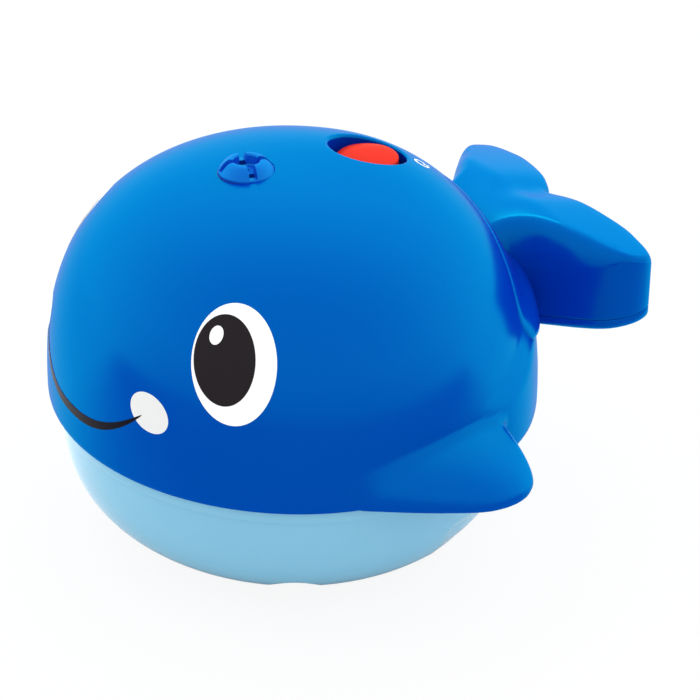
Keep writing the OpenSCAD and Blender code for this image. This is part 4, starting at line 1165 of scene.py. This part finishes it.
def build_spring():
    """The button's return spring: a coil."""
    low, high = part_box("button_spring")
    mean_r = high.x - SPRING_WIRE_R
    ring = turns(12)
    levels = np.linspace(low.z + SPRING_WIRE_R, high.z - SPRING_WIRE_R, SPRING_TURNS * SPRING_STEPS + 1)
    rings = []
    for number, level in enumerate(levels):
        a = 2 * math.pi * number / SPRING_STEPS
        out = mean_r + SPRING_WIRE_R * np.cos(ring)
        rings.append(np.column_stack([out * math.cos(a), BUTTON_Y + out * math.sin(a),
                                      level + SPRING_WIRE_R * np.sin(ring)]))
    steel = finish("plated", "steel_tin_plated", "#DADAD6", 0.2)
    spring = make_object("return_spring", *loft(rings, flip=True), steel, 60)
    place(spring, "whale", "screw_steel", "button_spring")
    1 - sizes("whale_top").button_travel / (high.z - low.z)
    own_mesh(spring)


# Printed face

# How far the edge of a print reaches into the skin
PRINT_FOOT = 0.05 * MM


def on_dome(points):
    """Moves points square to the body's surface onto it."""
    points = np.asarray(points, float).copy()
    for _ in range(8):
        normal = body_normals(points)
        gap = body_level(points)
        plan = np.maximum(np.linalg.norm(normal[:, :2], axis=1), 0.2)
        points -= normal * (gap * plan)[:, None]
    return points


def film_piece(name, plan, centre, across, upward, film, material):
    """A thin printed layer: an outline of (right, up) shares of two half axes, laid on the dome."""
    rows = []
    for s in np.linspace(0.04, 1, 14):
        skin = on_dome(centre + plan[:, :1] * s * across + plan[:, 1:] * s * upward)
        rows.append(skin + body_normals(skin) * film)
    rim = on_dome(rows[-1])
    rows.append(rim - body_normals(rim) * PRINT_FOOT)
    return make_object(name, *loft(rows, flip=True), material, 60)


# Centre and half axes of each print in mm, on the left side
EYE = (49.1, -42.2, 86.1), (7.73, 9.24, 1.4), (-7.27, 3.86, 15.13)
PUPIL = (47.5, -44.4, 87.2), (5.88, 6.59, 1.17), (-5.57, 2.95, 11.23)
GLINT = (43.3, -44.8, 93.2), (1.06, 1.66, 0.78), (-1.36, 0.71, 2.1)
CHEEK = (34.5, -61.9, 68.5), (6.12, 2.9, -0.59), (-0.96, 0.61, 5.59)


def both_sides(name, spot, layers, material):
    """The same oval print on the left and mirrored on the right."""
    film = sizes("whale_face").film * layers
    oval = np.stack([np.cos(turns(96)), np.sin(turns(96))], 1)
    for side, sign in (("left", 1), ("right", -1)):
        centre, across, upward = (np.array(axis) * (sign * MM, MM, MM) for axis in spot)
        piece = film_piece(f"{side}_{name}", oval, centre, across * sign, upward, film, material)
        place(piece, "whale", "white_plastic")


def smile_height(x):
    """Height of the smile's middle line at a distance from its own middle."""
    low_mm, lift_mm, bend = 55.5, 11.6, 2.6
    return (low_mm + lift_mm * (np.abs(x) / sizes("whale_face").smile_x) ** bend) * MM


def strip_section(top, film):
    """Section of a printed line: its top at the film's height and a foot in the skin at both ends."""
    up = body_normals(top)
    return np.vstack([top + up * film, [top[-1] - up[-1] * PRINT_FOOT, top[0] - up[0] * PRINT_FOOT]])


def build_smile(material):
    f, half_w = sizes("whale_face"), sizes("whale_body").half_w
    s = np.linspace(-1, 1, 121)
    x = f.smile_x * s
    z = smile_height(x)
    x = x + f.smile_shift
    t = -0.5 * math.pi + x / half_w
    for _ in range(30):
        t = t - (body_surface(t, z)[:, 0] - x) / half_w
    line = body_surface(t, z)
    normal = body_normals(line)
    along = unit_rows(np.gradient(line, axis=0))
    side = unit_rows(np.cross(normal, along))
    width = f.smile_w * np.clip(1 - np.abs(s) ** 2.4, 0, 1) ** 0.75 * 0.5 + 0.08 * MM
    rings = []
    for point, across in zip(line, side * width[:, None]):
        top = on_dome([point + across * w for w in (-1, -0.5, 0, 0.5, 1)])
        rings.append(strip_section(top, 3 * f.film))
    return make_object("smile", *loft(rings, flip=True), material, 60)


def build_face():
    c = sizes("whale_colours")
    white = finish("pad_printed", "ink_pad_printed_white", c.eye_white)
    both_sides("eye_white", EYE, 1, white)
    both_sides("pupil", PUPIL, 2, finish("pad_printed", "ink_pad_printed_black", c.ink, 0.3))
    both_sides("glint", GLINT, 3, white)
    both_sides("cheek", CHEEK, 1, finish("pad_printed", "ink_pad_printed_cheek", c.cheek, 0.35))
    line = finish("pad_printed", "ink_pad_printed_navy_black", c.smile, 0.35)
    place(build_smile(line), "whale", "black_plastic")


# Power sign: a ring open at the top with a bar, printed behind the button

def build_mark():
    f = sizes("whale_face")
    white = finish("pad_printed", "ink_pad_printed_white", sizes("whale_colours").eye_white)
    centre = np.array([6.1 * MM, 42.5 * MM])
    r, w = f.mark_r, 0.17 * f.mark_r
    open_ring = [(math.sin(a), math.cos(a)) for a in np.radians(np.linspace(35, 325, 50))]
    bar = [(0, s) for s in np.linspace(0.16, 1.28, 12)]
    for number, stroke in enumerate((open_ring, bar)):
        path = centre + r * np.array(stroke)
        along = unit_rows(np.gradient(path, axis=0))
        side = np.stack([-along[:, 1], along[:, 0]], 1)
        rings = []
        for point, across in zip(path, side * w):
            plan = np.array([point - across, point, point + across])
            rings.append(strip_section(np.column_stack([plan, dome_height(*plan.T)]), f.film))
        piece = make_object(f"power_sign_{number}", *loft(rings, flip=True), white, 60)
        place(piece, "whale", "white_plastic")


# Finishes of the CAD nodes that stay

def node_finishes():
    """Material of each CAD node that is shown as it is."""
    return {
        finish("silicone", "silicone_moulded_grey", "#84898E"): ("hull_seal",),
        finish("silicone", "silicone_moulded_blue", "#0A3C96"): ("spout_seal",),
        finish("silicone", "silicone_moulded_black", "#141416"): ("stem_seal", "door_seal"),
        finish("plated", "steel_nickel_plated", "#C9C9CC"): ("shell_screws", "tail_screws", "board_screws",
                                                             "door_screw"),
        finish("plated", "steel_tin_plated", "#DADAD6", 0.2): ("motor_shaft", "contact_springs",
                                                               "contact_plates"),
        finish("plated", "steel_zinc_plated_can", "#B7B9BC", 0.35): ("motor_can",),
        pale_abs(): ("spout_cup", "bay_lid", "battery_door"),
        finish("eroded", "abs_eroded_black", "#1B1B1E"): ("pump_housing", "pump_cover", "inlet_strainer",
                                                          "motor_clip", "switch_body"),
        finish("eroded", "acetal_moulded_white", "#EDEDEA"): ("impeller", "switch_plunger"),
        moulded_abs("pvc_shrunk_cell_sleeve", linear("#3C3F45"), 0.3): ("battery_cells",),
        finish("extruded_clear", "pvc_extruded_clear", "#E4E9EA"): ("water_tube",),
        finish("solder_mask", "glass_fibre_green_solder_mask", "#1D6B3A"): ("circuit_board",),
        finish("extruded", "pvc_extruded_red", "#C8281E"): ("power_wires",),
        finish("extruded", "pvc_extruded_black", "#1A1A1C"): ("motor_wires",)}


def finish_nodes():
    for material, names in node_finishes().items():
        for name in names:
            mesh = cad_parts[name].data
            mesh.materials.clear()
            mesh.materials.append(material)


# Stage

# Floor and backdrop: matt painted board that keeps the whale's shadow and reads white to the camera. To the
# whale's gloss it shows painted shade in front and glows behind as a painted light, as the photo's does
def painted_board():
    mat = bpy.data.materials.new("board_matt_white_painted_reflection")
    tree = empty_tree(mat)
    base = tuple(sizes("whale_colours").floor)
    place = add_node(tree, "ShaderNodeTexCoord").outputs["Object"]
    rays = add_node(tree, "ShaderNodeLightPath").outputs
    nearer = add_node(tree, "ShaderNodeVectorMath", {0: place, 1: view_direction()},
                      operation="DOT_PRODUCT").outputs["Value"]
    front = add_node(tree, "ShaderNodeMapRange", {"Value": nearer, "From Min": -0.05, "From Max": 0.12},
                     interpolation_type="SMOOTHSTEP")
    behind = add_node(tree, "ShaderNodeMapRange", {"Value": nearer, "From Min": -0.05, "From Max": 0.05,
                                                   "To Min": BACK_SHINE, "To Max": 0.0},
                      interpolation_type="SMOOTHSTEP")
    # Painted shade on the floor in front and a painted glow behind, both seen only by the whale's gloss
    factors = [(front.outputs[0], rays["Is Glossy Ray"]), (behind.outputs[0], rays["Is Glossy Ray"]),
               (rays["Is Camera Ray"], 0.9)]
    dimming, shine, seen = (add_node(tree, "ShaderNodeMath", {0: first, 1: second},
                                     operation="MULTIPLY").outputs[0] for first, second in factors)
    tone = add_node(tree, "ShaderNodeMix",
                    {"Factor": dimming, 6: opaque(base), 7: opaque(c * FRONT_SHADE for c in base)},
                    data_type="RGBA")
    surface = add_node(tree, "ShaderNodeBsdfDiffuse", {"Color": tone.outputs[2]})
    for factor, strength in ((shine, TENT_LIGHT), (seen, 1.0)):
        glow = add_node(tree, "ShaderNodeEmission", {"Strength": strength})
        surface = add_node(tree, "ShaderNodeMixShader",
                           {"Fac": factor, 1: surface.outputs[0], 2: glow.outputs[0]})
    add_node(tree, "ShaderNodeOutputMaterial", {"Surface": surface.outputs[0]})
    return mat


def studio_world():
    """White to the camera; to the whale a light tent, bright all round but for the camera's opening."""
    world = bpy.data.worlds.new("studio")
    bpy.context.scene.world = world
    tree = empty_tree(world)
    direction = add_node(tree, "ShaderNodeTexCoord").outputs["Generated"]
    height = add_node(tree, "ShaderNodeSeparateXYZ", {"Vector": direction}).outputs["Z"]
    rays = add_node(tree, "ShaderNodeLightPath").outputs
    toward = add_node(tree, "ShaderNodeVectorMath", {0: direction, 1: view_direction()},
                      operation="DOT_PRODUCT").outputs["Value"]
    # The tent by direction, then how far a direction is in front and near the horizon
    spans = [(toward, -0.45, 1.0, TENT_LIGHT, OPENING_LIGHT), (toward, -0.2, 0.5, 0.0, 1.0),
             (height, 0.0, 0.4, HORIZON_DIMMING, 0.0)]
    tent, front, low = (add_node(tree, "ShaderNodeMapRange",
                                 {"Value": value, "From Min": start, "From Max": end, "To Min": first,
                                  "To Max": last}, interpolation_type="SMOOTHSTEP").outputs[0]
                        for value, start, end, first, last in spans)
    strength = front
    for operation, first in (("MULTIPLY", low), ("MULTIPLY", rays["Is Glossy Ray"]), ("SUBTRACT", 1.0),
                             ("MULTIPLY", tent)):
        strength = add_node(tree, "ShaderNodeMath", {0: first, 1: strength}, operation=operation).outputs[0]
    soft = add_node(tree, "ShaderNodeBackground", {"Color": (1, 1, 1, 1), "Strength": strength})
    white = add_node(tree, "ShaderNodeBackground", {"Color": (1, 1, 1, 1), "Strength": 1.0})
    mix = add_node(tree, "ShaderNodeMixShader",
                   {"Fac": rays["Is Camera Ray"], 1: soft.outputs[0], 2: white.outputs[0]})
    add_node(tree, "ShaderNodeOutputWorld", {"Surface": mix.outputs[0]})


def glint_lamp():
    """A weak overhead lamp for the soft glint along the tail's roll; it lights nothing else."""
    light = bpy.data.lights.new("glint_lamp", "AREA")
    light.shape = "DISK"
    light.size = 0.5
    light.energy = GLINT_POWER
    lamp = bpy.data.objects.new("glint_lamp", light)
    bpy.context.scene.collection.objects.link(lamp)
    lamp.location = Vector(GLINT_DIRECTION) * 1.2
    lamp.rotation_euler = Vector(GLINT_DIRECTION).to_track_quat("Z", "Y").to_euler()
    lit = bpy.data.collections.new("glint_piece")
    lit.objects.link(bpy.data.objects["tail_skin"])
    lamp.light_linking.receiver_collection = lit


# Photograph's view: the camera's turn, height, distance and framing in its 700 pixel square
VIEW_TURN, VIEW_RISE = math.radians(62), math.radians(28.1)
VIEW_TARGET = (0, 0, 70 * MM)
VIEW_DISTANCE = 0.8
MM_PER_PIXEL = 0.30
FRAME_PIXELS = 700
CENTRE_PIXEL = (286.15, 308.23)
# Light: the tent, the opening round the camera, and what the whale's gloss sees of horizon and floor
TENT_LIGHT, OPENING_LIGHT, HORIZON_DIMMING = 1.84, 0.92, 0.3
FRONT_SHADE, BACK_SHINE = 0.35, 0.7
GLINT_DIRECTION, GLINT_POWER = (-0.46, 0.3, 0.83), 1.8


def view_direction():
    """Direction from the whale to the camera."""
    return Vector((math.sin(VIEW_TURN) * math.cos(VIEW_RISE), -math.cos(VIEW_TURN) * math.cos(VIEW_RISE),
                   math.sin(VIEW_RISE)))


def build_camera():
    camera = bpy.data.cameras.new("camera")
    holder = bpy.data.objects.new("camera", camera)
    bpy.context.scene.collection.objects.link(holder)
    back = view_direction()
    holder.location = Vector(VIEW_TARGET) + back * VIEW_DISTANCE
    holder.rotation_euler = back.to_track_quat("Z", "Y").to_euler()
    camera.sensor_width = 36
    camera.lens = camera.sensor_width * VIEW_DISTANCE / (MM_PER_PIXEL * MM * FRAME_PIXELS)
    camera.shift_x = 0.5 - CENTRE_PIXEL[0] / FRAME_PIXELS
    camera.shift_y = CENTRE_PIXEL[1] / FRAME_PIXELS - 0.5
    camera.clip_start, camera.clip_end = 0.05, 20
    bpy.context.scene.camera = holder


def build_stage():
    size = 3.0
    floor = make_object("floor", [(-size, -size, 0), (size, -size, 0), (size, size, 0), (-size, size, 0)],
                        [(0, 1, 2, 3)], painted_board())
    studio_world()
    glint_lamp()
    build_camera()
    bpy.context.scene.view_settings.view_transform = "Standard"


# Operators, panel and registration

class WHALE_OT_inner_parts(bpy.types.Operator):
    """Give every CAD piece that stays its finish"""
    bl_idname = "whale.inner_parts"
    bl_label = "Finish inner parts"

    def execute(self, context):
        finish_nodes()
        return {"FINISHED"}


class WHALE_OT_blue_shell(bpy.types.Operator):
    """Build the blue dome with its well, spout seat and fins"""
    bl_idname = "whale.blue_shell"
    bl_label = "Build blue shell"

    def execute(self, context):
        build_blue_shell()
        return {"FINISHED"}


class WHALE_OT_pale_hull(bpy.types.Operator):
    """Build the pale hull with its band, recesses and door opening"""
    bl_idname = "whale.pale_hull"
    bl_label = "Build pale hull"

    def execute(self, context):
        build_pale_hull()
        return {"FINISHED"}


class WHALE_OT_tail(bpy.types.Operator):
    """Build the tail, its flange and its cover"""
    bl_idname = "whale.tail"
    bl_label = "Build tail"

    def execute(self, context):
        build_tail()
        return {"FINISHED"}


class WHALE_OT_spout(bpy.types.Operator):
    """Build the slotted spout"""
    bl_idname = "whale.spout"
    bl_label = "Build spout"

    def execute(self, context):
        build_spout()
        return {"FINISHED"}


class WHALE_OT_button(bpy.types.Operator):
    """Build the red push button"""
    bl_idname = "whale.button"
    bl_label = "Build button"

    def execute(self, context):
        build_button()
        return {"FINISHED"}


class WHALE_OT_spring(bpy.types.Operator):
    """Wind the button's return spring"""
    bl_idname = "whale.spring"
    bl_label = "Wind return spring"

    def execute(self, context):
        build_spring()
        return {"FINISHED"}


class WHALE_OT_face(bpy.types.Operator):
    """Print the eyes, cheeks and smile"""
    bl_idname = "whale.face"
    bl_label = "Print face"

    def execute(self, context):
        build_face()
        return {"FINISHED"}


class WHALE_OT_power_sign(bpy.types.Operator):
    """Print the power sign behind the button"""
    bl_idname = "whale.power_sign"
    bl_label = "Print power sign"

    def execute(self, context):
        build_mark()
        return {"FINISHED"}


class WHALE_OT_stage(bpy.types.Operator):
    """Set the floor, light and camera"""
    bl_idname = "whale.stage"
    bl_label = "Set stage"

    def execute(self, context):
        build_stage()
        return {"FINISHED"}


OPERATORS = (WHALE_OT_inner_parts, WHALE_OT_blue_shell, WHALE_OT_pale_hull, WHALE_OT_tail, WHALE_OT_spout,
             WHALE_OT_button, WHALE_OT_spring, WHALE_OT_face, WHALE_OT_power_sign, WHALE_OT_stage)


class WHALE_PT_panel(bpy.types.Panel):
    """Sizes, colours and building steps of the whale"""
    bl_label = "Bath whale"
    bl_idname = "WHALE_PT_panel"
    bl_space_type = "VIEW_3D"
    bl_region_type = "UI"
    bl_category = "Whale"

    def draw(self, context):
        for operator in OPERATORS:
            self.layout.operator(operator.bl_idname)
        for name, group in GROUPS.items():
            box = self.layout.box()
            box.label(text=group.__doc__)
            for key in group.__annotations__:
                box.prop(getattr(context.scene, name), key)


def register():
    for name, group in GROUPS.items():
        bpy.utils.register_class(group)
        setattr(bpy.types.Scene, name, bpy.props.PointerProperty(type=group))
    for item in OPERATORS + (WHALE_PT_panel,):
        bpy.utils.register_class(item)


def unregister():
    for item in reversed(OPERATORS + (WHALE_PT_panel,)):
        bpy.utils.unregister_class(item)
    for name, group in reversed(list(GROUPS.items())):
        delattr(bpy.types.Scene, name)
        bpy.utils.unregister_class(group)


def main():
    register()
    for operator in OPERATORS:
        name = operator.bl_idname.split(".")[1]
        getattr(bpy.ops.whale, name)()


if __name__ == "__main__":
    main()
